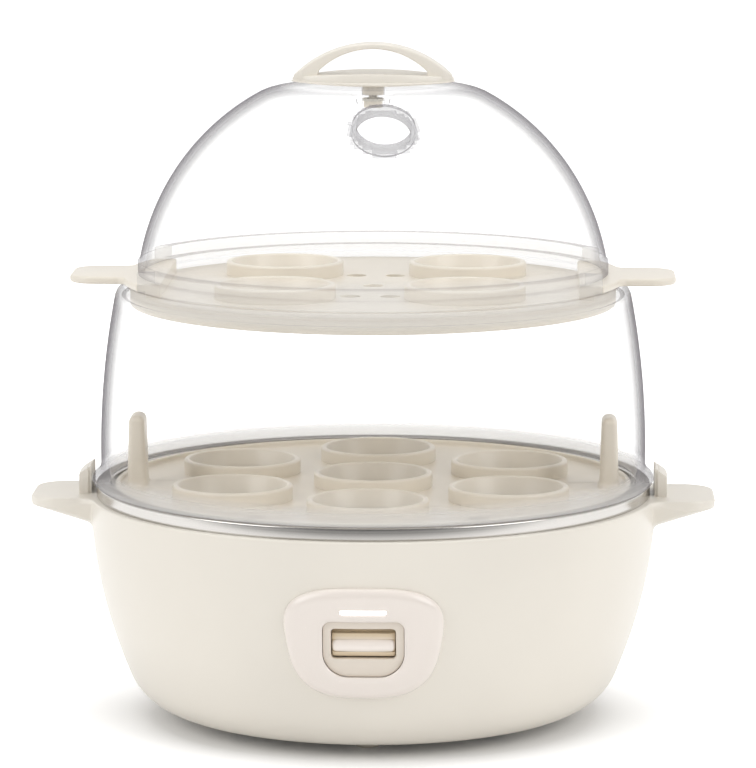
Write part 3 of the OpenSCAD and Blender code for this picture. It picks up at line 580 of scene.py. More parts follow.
def spun_stainless(tones):
    """Stainless steel spun on a lathe. The eye sees fine rings about the axis, so the marks are
    laid by distance from it; real rings are 0.1 mm apart and are drawn at 0.4 mm to show."""
    material, tree, output, place = new_material("spun_stainless_steel")
    flat = add(tree, "ShaderNodeVectorMath", {"operation": "MULTIPLY"},
               {0: place, 1: (1.0, 1.0, 0.0)}).outputs["Vector"]
    reach = add(tree, "ShaderNodeVectorMath", {"operation": "LENGTH"}, {0: flat}).outputs["Value"]
    where = add(tree, "ShaderNodeCombineXYZ", inputs={
        "X": reach, "Y": along(tree, place, "Z")}).outputs["Vector"]
    rings = noise(tree, where, 1.0 / (0.4 * MM))
    tint = ramp(tree, rings, [(0.3, shaded(tones.steel, 0.93)), (0.7, shaded(tones.steel, 1.03))])
    gloss = ramp(tree, rings, [(0.3, grey(0.17)), (0.7, grey(0.25))])
    body = principled(tree, {
        "Base Color": tint, "Metallic": 1.0, "Roughness": gloss,
        "Normal": bump(tree, rings, 0.05, 0.03)})
    tree.links.new(body, output.inputs["Surface"])
    return material


def woven_sleeve():
    """Woven glass-fibre sleeve. The eye sees small over-and-under checks of white yarn; the
    0.3 mm yarn is drawn at 0.8 mm."""
    material, tree, output, place = new_material("woven_glass_sleeve")
    weave = add(tree, "ShaderNodeTexChecker", inputs={
        "Vector": place, "Scale": 1.0 / (0.8 * MM), "Color1": linear("#efece4"),
        "Color2": linear("#cfc9bc")})
    body = principled(tree, {
        "Base Color": weave.outputs["Color"], "Roughness": 0.8,
        "Normal": bump(tree, weave.outputs["Fac"], 0.3, 0.1)})
    tree.links.new(body, output.inputs["Surface"])
    return material


def slot_materials(tones, covers):
    """One material for each of the record's slots, and for pieces that differ from their slot."""
    foot, shoulder, neck_top, dome_foot, dome_top = (
        getattr(covers, key) / MM
        for key in ("ring_foot", "shoulder", "neck_top", "dome_foot", "dome_top"))
    # How much painted shade a wall takes as grey as it turns edge on: steep on the upright ring,
    # gentler on the round dome, faint on inner faces, and strong all over the thick ring of the vent
    steep = [(0.0, 0.004), (0.60, 0.006), (0.63, 0.02), (0.66, 0.06), (0.69, 0.12), (0.73, 0.20),
             (0.765, 0.31), (0.785, 0.40), (0.83, 0.56), (0.89, 0.74), (1.0, 0.85)]
    gentle = [(0.0, 0.004), (0.60, 0.01), (0.638, 0.05), (0.66, 0.10), (0.684, 0.17), (0.71, 0.26),
              (0.74, 0.33), (0.77, 0.40), (0.80, 0.48), (0.85, 0.59), (0.89, 0.71), (1.0, 0.85)]
    inside = [(0.0, 0.002), (0.70, 0.01), (0.85, 0.05), (0.95, 0.10), (1.0, 0.12)]
    thick = [(0.0, 0.30), (0.4, 0.36), (0.8, 0.46), (1.0, 0.5)]
    # Painted glare by height: a pale veil on the ring's foot and shoulder and on the dome's flange
    # and top, where the painted grey edge is also weaker
    ring_glare = [(foot, 0.46), (foot + 3, 0.34), (foot + 6, 0.04), (foot + 12, 0.0),
                 (shoulder - 8, 0.0), (shoulder - 3, 0.04), (shoulder - 1, 0.26), (neck_top, 0.24)]
    ring_edge = [(foot, 0.35), (foot + 3, 0.45), (foot + 6, 1.0), (shoulder - 4, 1.0),
                 (shoulder, 0.5), (neck_top, 0.5)]
    dome_glare = [(neck_top, 0.24), (dome_foot, 0.26), (dome_foot + 3.5, 0.22),
                 (dome_foot + 6, 0.01), (dome_top - 6, 0.0), (dome_top - 1, 0.02),
                 (dome_top + 2, 0.06)]
    dome_edge = [(neck_top, 0.5), (dome_foot + 3.5, 0.5), (dome_foot + 6, 1.0),
                 (dome_top - 1.6, 1.0), (dome_top, 0.8), (dome_top + 0.6, 0.3), (dome_top + 2, 0.2)]
    return {
        "cream_plastic": moulded("moulded_polypropylene_cream", list(tones.shell)),
        "bezel_plastic": moulded(
            "moulded_abs_bezel", list(tones.bezel), 0.24, 0.4, 0.02, 0.01, 0.45),
        "switch_plastic": moulded("moulded_abs_frame", list(tones.frame), 0.34, 0.4, 0.04, 0.01),
        "rocker_plastic": rocker_plastic(tones, edge("rocker_pin", LOW, "y") * MM,
                                         edge("rocker", LOW, "y") * MM),
        "tray_plastic": moulded("moulded_polypropylene_trays", list(tones.tray), 0.36, 0.5, 0.04),
        "clear_ring": clear_styrene("clear_san_ring", tones, steep, ring_glare, ring_edge),
        "clear_ring_inside": clear_styrene(
            "clear_san_ring_inside", tones, inside, ring_glare, ring_edge),
        "clear_dome": clear_styrene("clear_san_dome", tones, gentle, dome_glare, dome_edge),
        "clear_dome_inside": clear_styrene(
            "clear_san_dome_inside", tones, inside, dome_glare, dome_edge),
        # The vent's ring is painted grey all over, as painted shade for the dark lines of its thick
        # wall
        "clear_vent": clear_styrene("clear_san_vent", tones, thick, [(0, 0.0), (dome_top, 0.0)],
                                    [(0, 1.0), (dome_top, 1.0)]),
        "window_plastic": lit_window(tones),
        # Soft feet: matt, slightly dusty, with a coarser skin than the shell
        "foot_rubber": moulded("moulded_soft_feet", linear("#e4ddd0"), 0.62, 0.8, 0.12, 0.05, 0.0),
        # Silicone gasket: matt and faintly grey
        "silicone": moulded("pressed_silicone", linear("#d9d6cf"), 0.58, 0.9, 0.08, 0.04, 0.0),
        "stainless_steel": spun_stainless(tones),
        # Zinc plate: a cool bright grey with small random marks
        "zinc_steel": metal("zinc_plated_steel", linear("#a9abad"), 0.34, 0.7, (1, 1, 1)),
        # Heater sheath: steel browned by heat, marked along the tube
        "sheath_steel": metal("heat_browned_sheath", linear("#6b6259"), 0.46, 0.9, (1, 1, 2), 0.06),
        # Rolled sheet: long faint marks along one way
        "bare_aluminium": metal("rolled_aluminium", linear("#c9c9cb"), 0.36, 0.6, (12, 1, 1)),
        # Stamped tabs: bright yellow brass with a drawn grain
        "brass_tabs": metal("stamped_brass", linear("#cbb070"), 0.28, 0.5, (1, 1, 8)),
        # Heat-resistant moulding: matt black with a dull grain
        "black_plastic": moulded(
            "moulded_black_phenolic", linear("#232322"), 0.52, 0.7, 0.1, 0.1, 0.0),
        "fuse_sleeve": woven_sleeve(),
        # Board: glass laminate under a glossy green solder mask
        "board_green": moulded(
            "solder_masked_board", linear("#1f5e37"), 0.26, 1.2, 0.06, 0.12, 0.4),
        # Component cases: dull moulded epoxy
        "component_plastic": moulded(
            "moulded_epoxy_cases", linear("#8a7a45"), 0.5, 0.6, 0.08, 0.15, 0.0),
        # Screw-terminal block: unpainted polyamide, off-white and a little waxy
        "terminal_block": moulded(
            "moulded_polyamide", linear("#e4e1d8"), 0.42, 0.8, 0.04, 0.02, 0.0),
        # Lamp carrier: a small green board with a glossy mask
        "indicator_lamp": moulded("lamp_board_mask", linear("#2a6b41"), 0.28, 1.0, 0.05, 0.1, 0.3),
        # Leads: soft extruded sleeve with a low shine
        "lead_sleeve": moulded(
            "extruded_lead_sleeve", linear("#8a5a3a"), 0.42, 0.8, 0.04, 0.06, 0.05),
    }


FINISHES = {}


def finish(context, name):
    """A finish by the name of its slot. They are all made the first time that one is wanted."""
    if not FINISHES:
        FINISHES.update(slot_materials(context.scene.cooker_tones, context.scene.cooker_covers))
    return FINISHES[name]


class CookerStep:
    """What the operators share: each can be undone, and its build method does the work."""
    bl_options = {"REGISTER", "UNDO"}

    def execute(self, context):
        self.build(context)
        return {"FINISHED"}


# ---- the base ----

def side_centre(base, lean):
    """Centre of the long arc of the base's side."""
    return (base.radius - base.side_curve * math.cos(lean),
            base.top + base.side_curve * math.sin(lean))


def wall_radius(context, z, out=0.0):
    """Radius of the base's wall at a height, moved outwards square to the wall."""
    base = Millimetres(context.scene.cooker_base)
    cx, cz = side_centre(base, context.scene.cooker_base.side_lean)
    return cx + math.sqrt((base.side_curve + out) ** 2 - (cz - z) ** 2)


def wall_front(context, x, z, out):
    """Where the front of the base's wall lies at a place, moved outwards."""
    return -math.sqrt(wall_radius(context, z, out) ** 2 - x ** 2)


def base_plan(base):
    """Outline of the base's rim and its two handles, seen from above."""
    half = base.handle_width / 2
    corner, flare = base.handle_corner, base.handle_flare
    flare_x = math.sqrt((base.radius + flare) ** 2 - (half + flare) ** 2)
    joint = math.degrees(math.atan2(half + flare, flare_x))
    quarter = [(base.reach, (half - corner) * k / 4) for k in range(4)]
    quarter += arc(base.reach - corner, half - corner, corner, 0, 90, 12)
    quarter += arc(flare_x, half + flare, flare, -90, joint - 180, 10)
    quarter += arc(0, 0, base.radius, joint, 90, 44)[1:]
    upper = quarter + [(-x, y) for x, y in reversed(quarter[:-1])]
    return upper + [(-x, -y) for x, y in upper[1:-1]]


def base_section(base, lean, out):
    """Section of the base at a place where its rim reaches out to a radius."""
    cx, cz = side_centre(base, lean)
    corner_z = base.underside + base.corner
    corner_x = cx + math.sqrt((base.side_curve - base.corner) ** 2 - (cz - corner_z) ** 2)
    join = math.degrees(math.atan2(cz - corner_z, corner_x - cx))

    def side(inset, z):
        start = -math.degrees(math.asin((cz - z) / (base.side_curve - inset)))
        return (arc(cx, cz, base.side_curve - inset, start, -join, 12)
                + arc(corner_x, corner_z, base.corner - inset, -join - 4, -90, 10))

    over = max(0.0, out - base.radius)
    share = min(1.0, over / 9.0)
    tip = 1.2 + (base.handle_tip - 1.2) * share * share * (3 - 2 * share)
    under = base.top - tip
    root = under - 0.3 * over - 0.6
    root_r = side(0, root)[0][0]
    under_r = out - 0.35 * share if over else side(0, under)[0][0]
    ledge, hole = base.cover_radius - 7.8, base.underside + 2.5
    lip_in, lip_low = base.radius - 5.5, base.top - 3.0
    below = root - 9
    skirt = side(0, below)
    rim = rounded([(lip_in, base.top, 0.4), (out, base.top, 0.9),
                   (under_r, under, 0.7 * share + 0.1), (root_r, root, 1.5 + 0.08 * over),
                   (skirt[0][0], below, 0.0), (lip_in, below, 0.0)], 6)[:-2]
    inner = side(base.wall, lip_low - 2)
    floor = [(base.cover_radius, base.underside), (base.cover_radius, hole), (ledge, hole),
             (ledge, hole + 2.4), (base.cover_radius + 3, hole + 2.4),
             (base.cover_radius + 3, base.underside + base.wall)]
    return rim + skirt + floor + list(reversed(inner)) + [(lip_in, lip_low)]


def upright_slot(name, centre_z, width, height, corners, front, back):
    """A rounded slot in the XZ plane, pushed along Y."""
    outline = oblong(width / 2, -height / 2, height / 2, corners, 10)
    rings = [[(px, y, centre_z + pz) for px, pz in outline] for y in (front, back)]
    return loft(name, rings, False)


def drum(name, radius, low, high, round_off, bore=0.0):
    """A turned disc or tube about the upright axis, with its rims rounded."""
    corners = [(bore, low, round_off if bore else 0.0), (radius, low, round_off),
               (radius, high, round_off), (bore, high, round_off if bore else 0.0)]
    return spun(name, rounded(corners, 4), 64)


class COOKER_OT_base(CookerStep, bpy.types.Operator):
    """Builds the cream base with its two handles, locating tabs and cord boss"""
    bl_idname = "cooker.base"
    bl_label = "Base shell"

    def build(self, context):
        base = Millimetres(context.scene.cooker_base)
        switch = Millimetres(context.scene.cooker_switch)
        lean = context.scene.cooker_base.side_lean
        rings = []
        for x, y in base_plan(base):
            out = math.hypot(x, y)
            rings.append([(r * x / out, r * y / out, z) for r, z in base_section(base, lean, out)])
        shell = loft("base_shell_moulded", rings, True)
        for side in (0.0, 180.0):
            for tab in self.tabs(base, side):
                shell = combine(shell, tab, "UNION")
        root = wall_radius(context, base.inlet_z) - base.inlet_back
        rearward = shift(0, root, base.inlet_z) @ Matrix.Rotation(math.radians(-90), 4, "X")
        # The cord boss: a short drum with a pocket in its end and a bore through the wall
        boss_r, pocket_r, bore_r, stand = 10.0, 8.2, 6.2, 11.5
        boss = drum("boss", boss_r, 0.0, stand, 0.8)
        shell = combine(shell, moved(boss, rearward), "UNION")
        pocket = drum("pocket", pocket_r, stand - 2.0, stand + 4.5, 0.2)
        pocket = combine(pocket, drum("bore", bore_r, -8.0, stand + 2.5, 0.2), "UNION")
        shell = combine(shell, moved(pocket, rearward), "DIFFERENCE")
        play, front, behind = 0.4, -base.radius - 6, -60.0
        for name, z, width, height, corners in (
                ("recess", switch.height - switch.recess_drop, switch.recess_width,
                 switch.recess_height, (2.9, 8.0)),
                ("window", switch.height + switch.window_rise, switch.window_width,
                 switch.window_height, (1.15, 1.15))):
            cut = upright_slot(name, z, width + play, height + play, corners, front, behind)
            shell = combine(shell, cut, "DIFFERENCE")
        dress(context, shell, "base", "cream_plastic", ["base_shell"], 30)

    def tabs(self, base, side):
        """A locating tab in two layers, the inner one narrower, under one slope."""
        foot, inside = base.top - 2.5, base.tab_inside
        layers = ((inside, inside + 1.1, base.tab_width - 1.6),
                  (inside + 1.0, inside + 3.9, base.tab_width))
        for inner, outer, width in layers:
            half = math.degrees(math.asin(width / 2 / outer))
            tops = [base.tab_top - 0.7 * (reach - inside) for reach in (inner, outer)]
            section = rounded([(inner, foot, 0.0), (inner, tops[0], 0.3), (outer, tops[1], 0.7),
                               (outer, foot, 0.0)], 4)
            yield spun("tab", section, 12, side - half, 2 * half)


class COOKER_OT_plate(CookerStep, bpy.types.Operator):
    """Builds the spun steel heating plate with its dish and its rounded rim"""
    bl_idname = "cooker.plate"
    bl_label = "Heating plate"

    def build(self, context):
        base = Millimetres(context.scene.cooker_base)
        sheet, inset, roll, ledge, slope = 1.0, 2.1, 4.6, 3.6, 5
        rim_out, rim_top = base.radius - inset, edge("heating_plate", HIGH, "z")
        rim_in, shelf = rim_out - roll, base.top - 0.3
        shelf_in, floor = rim_in - ledge, edge("heating_plate", LOW, "z") + sheet
        dish = shelf_in - slope
        upper = rounded([(0, floor, 0.0), (dish - 1.4, floor, 4.0), (shelf_in, shelf, 0.8),
                         (rim_in, shelf, 0.6), (rim_in, rim_top, 1.5), (rim_out, rim_top, 0.7),
                         (rim_out, base.top, 0.2), (rim_out - sheet, base.top, 0.2),
                         (rim_out - sheet, rim_top - sheet, 0.9),
                         (rim_in + sheet, rim_top - sheet, 0.6),
                         (rim_in + sheet, shelf - sheet, 0.6),
                         (shelf_in + sheet, shelf - sheet, 0.8),
                         (dish - 0.5, floor - sheet, 4.6), (0, floor - sheet, 0.0)], 6)
        plate = spun("heating_plate_spun", upper, 180)
        dress(context, plate, "base", "stainless_steel", ["heating_plate"])


# ---- the switch ----

def ray_reach(outline, angle):
    """How far a closed outline reaches from its middle along an angle."""
    aim = Vector((math.cos(angle), math.sin(angle)))
    best = 0.0
    for i, start in enumerate(outline):
        here, there = Vector(outline[i - 1]), Vector(start)
        run = there - here
        cross = aim.x * run.y - aim.y * run.x
        if abs(cross) < 1e-9:
            continue
        reach = (here.x * run.y - here.y * run.x) / cross
        share = (here.x * aim.y - here.y * aim.x) / cross
        if -1e-6 <= share <= 1 + 1e-6:
            best = max(best, reach)
    return best


def bezel_outline(switch, drop):
    """Squared oval of the bezel about the recess's middle: wider above than below."""
    right = []
    for i in range(73):
        u = math.sin(math.radians(-90 + 180 * i / 72))
        x = switch.half_width * (1 + 0.13 * u) * (1 - abs(u) ** 3) ** (1 / 3)
        right.append((x, switch.half_height * u + drop))
    return right + [(-x, z) for x, z in reversed(right[1:-1])]


def plaque(context, name, outer, inner, middle_z, steps, back):
    """A plate with a hole that follows the base's wall. Its steps are (share of the way from the
    outer outline to the hole, stand proud of the wall); back is its back as a place along Y, or
    nothing where it follows the wall too."""
    rings = []
    for k in range(144):
        angle = math.tau * k / 144
        far, near = ray_reach(outer, angle), ray_reach(inner, angle)
        ring = []
        for share, proud in steps:
            reach = far + (near - far) * share
            x, z = reach * math.cos(angle), middle_z + reach * math.sin(angle)
            y = back if proud is None else wall_front(context, x, z, proud)
            ring.append((x, y, z))
        rings.append(ring)
    return loft(name, rings, True)


class COOKER_OT_bezel(CookerStep, bpy.types.Operator):
    """Builds the pillow-shaped bezel with its window slot"""
    bl_idname = "cooker.bezel"
    bl_label = "Switch bezel"

    def build(self, context):
        switch = Millimetres(context.scene.cooker_switch)
        middle = switch.height - switch.recess_drop
        outer = bezel_outline(switch, switch.height - 0.3 - middle)
        half = switch.recess_height / 2
        inner = oblong(switch.recess_width / 2, -half, half, (2.7, 7.8), 12)
        proud = switch.proud
        rise = [(0.34 * (1 - math.cos(a)), 0.05 + (proud - 0.15) * math.sin(a))
                for a in (math.radians(90 * k / 9) for k in range(10))]
        steps = rise + [(0.7, proud), (0.9, proud - 0.02), (0.96, proud - 0.2),
                        (1.0, proud - 0.55), (1.0, 0.05), (0.75, 0.05), (0.5, 0.05), (0.25, 0.05)]
        bezel = plaque(context, "switch_bezel_moulded", outer, inner, middle, steps, None)
        slot = upright_slot("slot", switch.height + switch.window_rise, switch.window_width,
                            switch.window_height, (0.98, 0.98), -100.0, -60.0)
        combine(bezel, slot, "DIFFERENCE")
        dress(context, bezel, "base", "bezel_plastic", ["switch_bezel"], 30)


class COOKER_OT_rocker_frame(CookerStep, bpy.types.Operator):
    """Builds the frame that fills the bezel's recess round the rocker"""
    bl_idname = "cooker.rocker_frame"
    bl_label = "Rocker frame"

    def build(self, context):
        switch = Millimetres(context.scene.cooker_switch)
        middle = switch.height - switch.recess_drop
        half, z = switch.recess_height / 2 - 0.1, switch.opening_height / 2
        outer = oblong(switch.recess_width / 2 - 0.1, -half, half, (2.6, 7.7), 12)
        inner = oblong(switch.opening_width / 2, switch.recess_drop - z, switch.recess_drop + z,
                       (1.2, 1.2), 8)
        stand = 1.3
        steps = [(0.0, stand - 0.3), (0.02, stand - 0.08), (0.06, stand), (0.5, stand),
                 (0.78, stand), (0.92, stand - 0.12), (0.985, stand - 0.42), (1.0, stand - 0.8),
                 (1.0, None), (0.5, None), (0.0, None)]
        frame_piece = plaque(context, "switch_frame_moulded", outer, inner, middle, steps,
                             edge("switch_frame", HIGH, "y"))
        dress(context, frame_piece, "base", "switch_plastic", ["switch_frame"], 30)


class COOKER_OT_rocker(CookerStep, bpy.types.Operator):
    """Builds the rocker: a barrel on its pin, its curved face and a long rounded nose"""
    bl_idname = "cooker.rocker"
    bl_label = "Rocker"

    def build(self, context):
        switch = Millimetres(context.scene.cooker_switch)
        half = switch.opening_width / 2 - 0.2
        barrel, reach, edge_round = switch.opening_height / 2 - 0.2, 5.6, 1.4
        rings = []
        for k in range(-24, 25):
            share = math.sin(math.radians(90 * k / 24))
            x = half * share
            left = half - abs(x)
            trim = 0.0
            if left < edge_round:
                trim = edge_round - math.sqrt(edge_round ** 2 - (edge_round - left) ** 2)
            bow = 0.5 * (x / half) ** 2
            front = reach - bow - trim * 0.9
            lip = switch.nose - 0.35 * trim
            face, half_face = switch.face - 0.5 * trim, switch.face_half
            meet = math.degrees(math.asin(lip / face))
            turn_in = math.degrees(math.asin(half_face / face))
            back = barrel - 0.3 * trim
            start = math.degrees(math.asin(half_face / back))
            section = arc(-front, 0, lip, 90, 270, 14)
            section += arc(0, 0, face, 180 + meet, 180 + turn_in, 6)
            section += arc(0, 0, back, 180 + start, 540 - start, 30)
            section += arc(0, 0, face, 180 - turn_in, 180 - meet, 6)
            rings.append([(x, y, z) for y, z in section])
        rocker = loft("rocker_moulded", rings, False)
        pin_radius = edge("rocker_pin", HIGH, "z") - switch.height
        hole = drum("hole", pin_radius + 0.15, -half - 2, half + 2, 0.1)
        moved(hole, Matrix.Rotation(math.radians(90), 4, "Y"))
        rocker = combine(rocker, hole, "DIFFERENCE")
        pin_y = (edge("rocker_pin", LOW, "y") + edge("rocker_pin", HIGH, "y")) / 2
        moved(rocker, shift(0, pin_y, switch.height) @ Matrix.Rotation(math.radians(7.5), 4, "X"))
        dress(context, rocker, "rocker", "rocker_plastic", ["rocker"], 30)


class COOKER_OT_window(CookerStep, bpy.types.Operator):
    """Builds the indicator window, a slot-shaped lens with a softly domed face"""
    bl_idname = "cooker.window"
    bl_label = "Indicator window"

    def build(self, context):
        switch = Millimetres(context.scene.cooker_switch)
        z = switch.height + switch.window_rise
        half = switch.window_height / 2 - 0.1
        outline = oblong(switch.window_width / 2 - 0.1, -half, half, (0.88, 0.88), 12)
        rings = []
        for inset, proud in ((0.0, None), (0.0, 1.5), (0.05, 1.75), (0.2, 1.95), (0.45, 2.05)):
            ring = []
            for i in range(len(outline)):
                x, dz = inset_point(outline, i, inset)
                y = edge("indicator_lens", HIGH, "y") if proud is None else wall_front(
                    context, x, z + dz, proud)
                ring.append((x, y, z + dz))
            rings.append(ring)
        lens = loft("indicator_lens_moulded", rings, False)
        dress(context, lens, "base", "window_plastic", ["indicator_lens"])


# ---- the trays ----

def seat_collar(trays, z):
    """One egg seat: a cone-shaped bore in a collar with rounded rims."""
    drop, taper = 4.0, 3.7
    low, high = z - drop, z + trays.thickness + trays.collar_height
    outer = trays.seat_radius + trays.collar_wall
    section = rounded([(trays.seat_radius - taper, low, 0.3), (outer, low, 0.4),
                       (outer, high, 0.9), (trays.seat_radius, high, 0.75)], 6)
    return spun("collar", section, 72)


def ring_places(count, radius, first):
    """Places evenly spread round the upright axis."""
    angles = [math.radians(first + 360 * k / count) for k in range(count)]
    return [(radius * math.cos(a), radius * math.sin(a)) for a in angles]


def scattered(name, piece, places):
    """One mesh with a copy of a piece at each place."""
    bm = bmesh.new()
    for x, y in places:
        bm.from_mesh(piece.data)
        fresh = bm.verts[-len(piece.data.vertices):]
        bmesh.ops.translate(bm, vec=Vector((x, y, 0)) * MM, verts=fresh)
    dropped(piece)
    return placed(name, bm)


def seated(tray, trays, z, places):
    """Cuts a tray for its egg seats and sets the collars in it."""
    middle = trays.seat_radius + trays.collar_wall / 2
    clear = scattered("clear", drum("hole", middle, z - 6, z + 12, 0.2), places)
    tray = combine(tray, clear, "DIFFERENCE")
    collars = scattered("collars", seat_collar(trays, z), places)
    return combine(tray, collars, "UNION")


class COOKER_OT_lower_tray(CookerStep, bpy.types.Operator):
    """Builds the lower tray with seven egg seats, steam holes and two grip posts"""
    bl_idname = "cooker.lower_tray"
    bl_label = "Lower tray"

    def build(self, context):
        trays = Millimetres(context.scene.cooker_trays)
        z, top, reach = trays.lower_z, trays.lower_z + trays.thickness, trays.lower_radius
        lip, inside = top + 1.8, reach - 1.6
        disc = rounded([(0, z, 0.0), (reach, z, 0.5), (reach, lip, 0.6), (inside, lip, 0.6),
                        (inside, top, 0.8), (0, top, 0.0)], 4)
        tray = spun("lower_tray_moulded", disc, 160)
        places = [(0.0, 0.0)] + ring_places(6, trays.lower_ring, -90)
        tray = seated(tray, trays, z, places)
        small, large = 2.6, 3.4
        inner = ring_places(6, trays.inner_holes, -60)
        outer = ring_places(2, trays.outer_holes, 60) + ring_places(2, trays.outer_holes, 120)
        for hole_r, spots in ((small, inner), (large, outer)):
            holes = scattered("holes", drum("hole", hole_r, z - 2, top + 2, 0.1), spots)
            tray = combine(tray, holes, "DIFFERENCE")
        for side in (-1, 1):
            tray = combine(tray, self.post(trays, side * (reach - 7.0), top), "UNION")
        dress(context, tray, "lower_tray", "tray_plastic", ["lower_tray"], 32)

    def post(self, trays, centre, floor):
        """A grip post: broad at its foot, tapered, with a rounded top."""
        foot, tip, crown, longer = 4.4, 2.5, 2.2, 3.6
        shoulder = trays.post_top - crown
        steps = [(foot, floor - 1.0), (foot, floor), (3.6, floor + 0.4), (3.15, floor + 1.2),
                 (3.0, floor + 2.4), (tip, shoulder)]
        steps += [(tip * math.cos(a), shoulder + crown * math.sin(a))
                  for a in map(math.radians, (20, 40, 60, 78))]
        rings = []
        for half_x, z in steps:
            half_y = half_x + longer
            corner = 0.6 * half_x
            outline = oblong(half_x, -half_y, half_y, (corner, corner), 5)
            rings.append([(centre + x, y, z) for x, y in outline])
        return loft("post", rings, False)


class COOKER_OT_upper_tray(CookerStep, bpy.types.Operator):
    """Builds the upper tray with four egg seats, steam holes, two saddles and two handles"""
    bl_idname = "cooker.upper_tray"
    bl_label = "Upper tray"

    def build(self, context):
        trays = Millimetres(context.scene.cooker_trays)
        floor, reach = trays.upper_z, trays.skirt_radius
        top = floor + trays.thickness
        skin, skirt = 1.8, floor - 3.2
        section = rounded([(0, floor, 0.0), (reach - skin, floor, 0.5), (reach - skin, skirt, 0.4),
                           (reach, skirt, 0.6), (reach, top, 0.7), (0, top, 0.0)], 4)
        tray = spun("upper_tray_moulded", section, 160)
        for side in (0.0, 180.0):
            for part in self.handle(context, trays):
                tray = combine(tray, moved(part, spin_z(side)), "UNION")
            hollow = self.outline(trays.saddle_x + skin, trays.saddle_half - skin, reach - skin)
            hollow = prism("hollow", hollow, [(0, floor - 4.5), (0, trays.handle_z)])
            tray = combine(tray, moved(hollow, spin_z(side)), "DIFFERENCE")
        tray = seated(tray, trays, floor, ring_places(4, trays.upper_ring, 45))
        turned = math.degrees(context.scene.cooker_trays.steam_turn)
        places = [(0.0, 0.0)]
        for first in (turned, -turned):
            places += ring_places(4, trays.steam_ring, first)
        hole_r = 3.2
        holes = scattered("holes", drum("hole", hole_r, floor - 2, top + 2, 0.1), places)
        tray = combine(tray, holes, "DIFFERENCE")
        dress(context, tray, "upper_tray", "tray_plastic", ["upper_tray"], 32)

    def outline(self, inner, half, radius):
        """Plan of a saddle: a straight inner edge and two ends, closed by an arc."""
        reach = math.degrees(math.asin(half / radius))
        return [(inner, half), (inner, half / 3), (inner, -half / 3), (inner, -half)] + arc(
            0, 0, radius, -reach, reach, 24)

    def handle(self, context, trays):
        """The saddle that stands on the floor, and the flat handle over it."""
        low, high = trays.handle_z, trays.handle_z + trays.handle_thickness
        neck = context.scene.cooker_covers.neck_radius / MM
        ends = trays.saddle_half
        saddle = prism("saddle", self.outline(trays.saddle_x, ends, trays.skirt_radius),
                       [(0, trays.upper_z + 0.5), (0, high - 0.7), (0.2, high - 0.2), (0.7, high)])
        plate = prism("plate", self.outline(trays.saddle_x + 1.0, ends, neck),
                      edged(low, high, 0.7))
        half, corner, flare = trays.handle_width / 2, 8.0, 3.0
        flare_x = math.sqrt((neck + flare) ** 2 - (half + flare) ** 2)
        joint = math.degrees(math.atan2(half + flare, flare_x))
        right = [(trays.handle_reach, 0.0)]
        right += arc(trays.handle_reach - corner, half - corner, corner, 0, 90, 12)
        right += arc(flare_x, half + flare, flare, -90, joint - 180, 8)
        right += arc(0, 0, neck, joint, joint + 1.5, 2)[1:]
        inner = [(70.0, right[-1][1]), (70.0, 0.0), (70.0, -right[-1][1])]
        outline = right + inner + [(x, -y) for x, y in reversed(right[1:])]
        wing = prism("wing", outline, edged(low, high, 0.9))
        return [saddle, plate, wing]


# ---- the clear covers ----

class COOKER_OT_clear_ring(CookerStep, bpy.types.Operator):
    """Builds the clear ring between the tiers, with its beaded foot, shoulder and neck"""
    bl_idname = "cooker.clear_ring"
    bl_label = "Clear ring"

    def build(self, context):
        covers = Millimetres(context.scene.cooker_covers)
        cx = covers.ring_radius - covers.ring_curve

        def side(inset):
            reach = covers.ring_curve - inset
            low = -math.degrees(math.asin((covers.ring_widest - covers.ring_foot - 5.6) / reach))
            high = math.degrees(math.asin((covers.shoulder - 1.5 - covers.ring_widest) / reach))
            return [(x, z, 0.0) for x, z in arc(cx, covers.ring_widest, reach, low, high, 24)]

        foot, reach, wall = covers.ring_foot, covers.foot_radius, covers.wall
        neck, shoulder = covers.neck_radius, covers.shoulder
        section = rounded(
            [(reach - 6.2, foot, 0.5), (reach, foot, 0.6), (reach, foot + 1.4, 0.6),
             (reach - 1.9, foot + 2.4, 0.9)]
            + side(0)
            + [(covers.ring_radius - 5.6, shoulder + 0.1, 1.2), (neck, shoulder + 0.6, 0.5),
               (neck, covers.neck_top, 0.5), (neck - wall, covers.neck_top, 0.5),
               (neck - wall, shoulder - wall, 0.8)]
            + list(reversed(side(wall))), 5)
        ring = spun("middle_tier_clear", section, 200)
        dress(context, ring, "middle_tier", "clear_plastic", ["middle_tier"], look="clear_ring")
        line_inside(ring, finish(context, "clear_ring_inside"), (foot + shoulder) / 2)


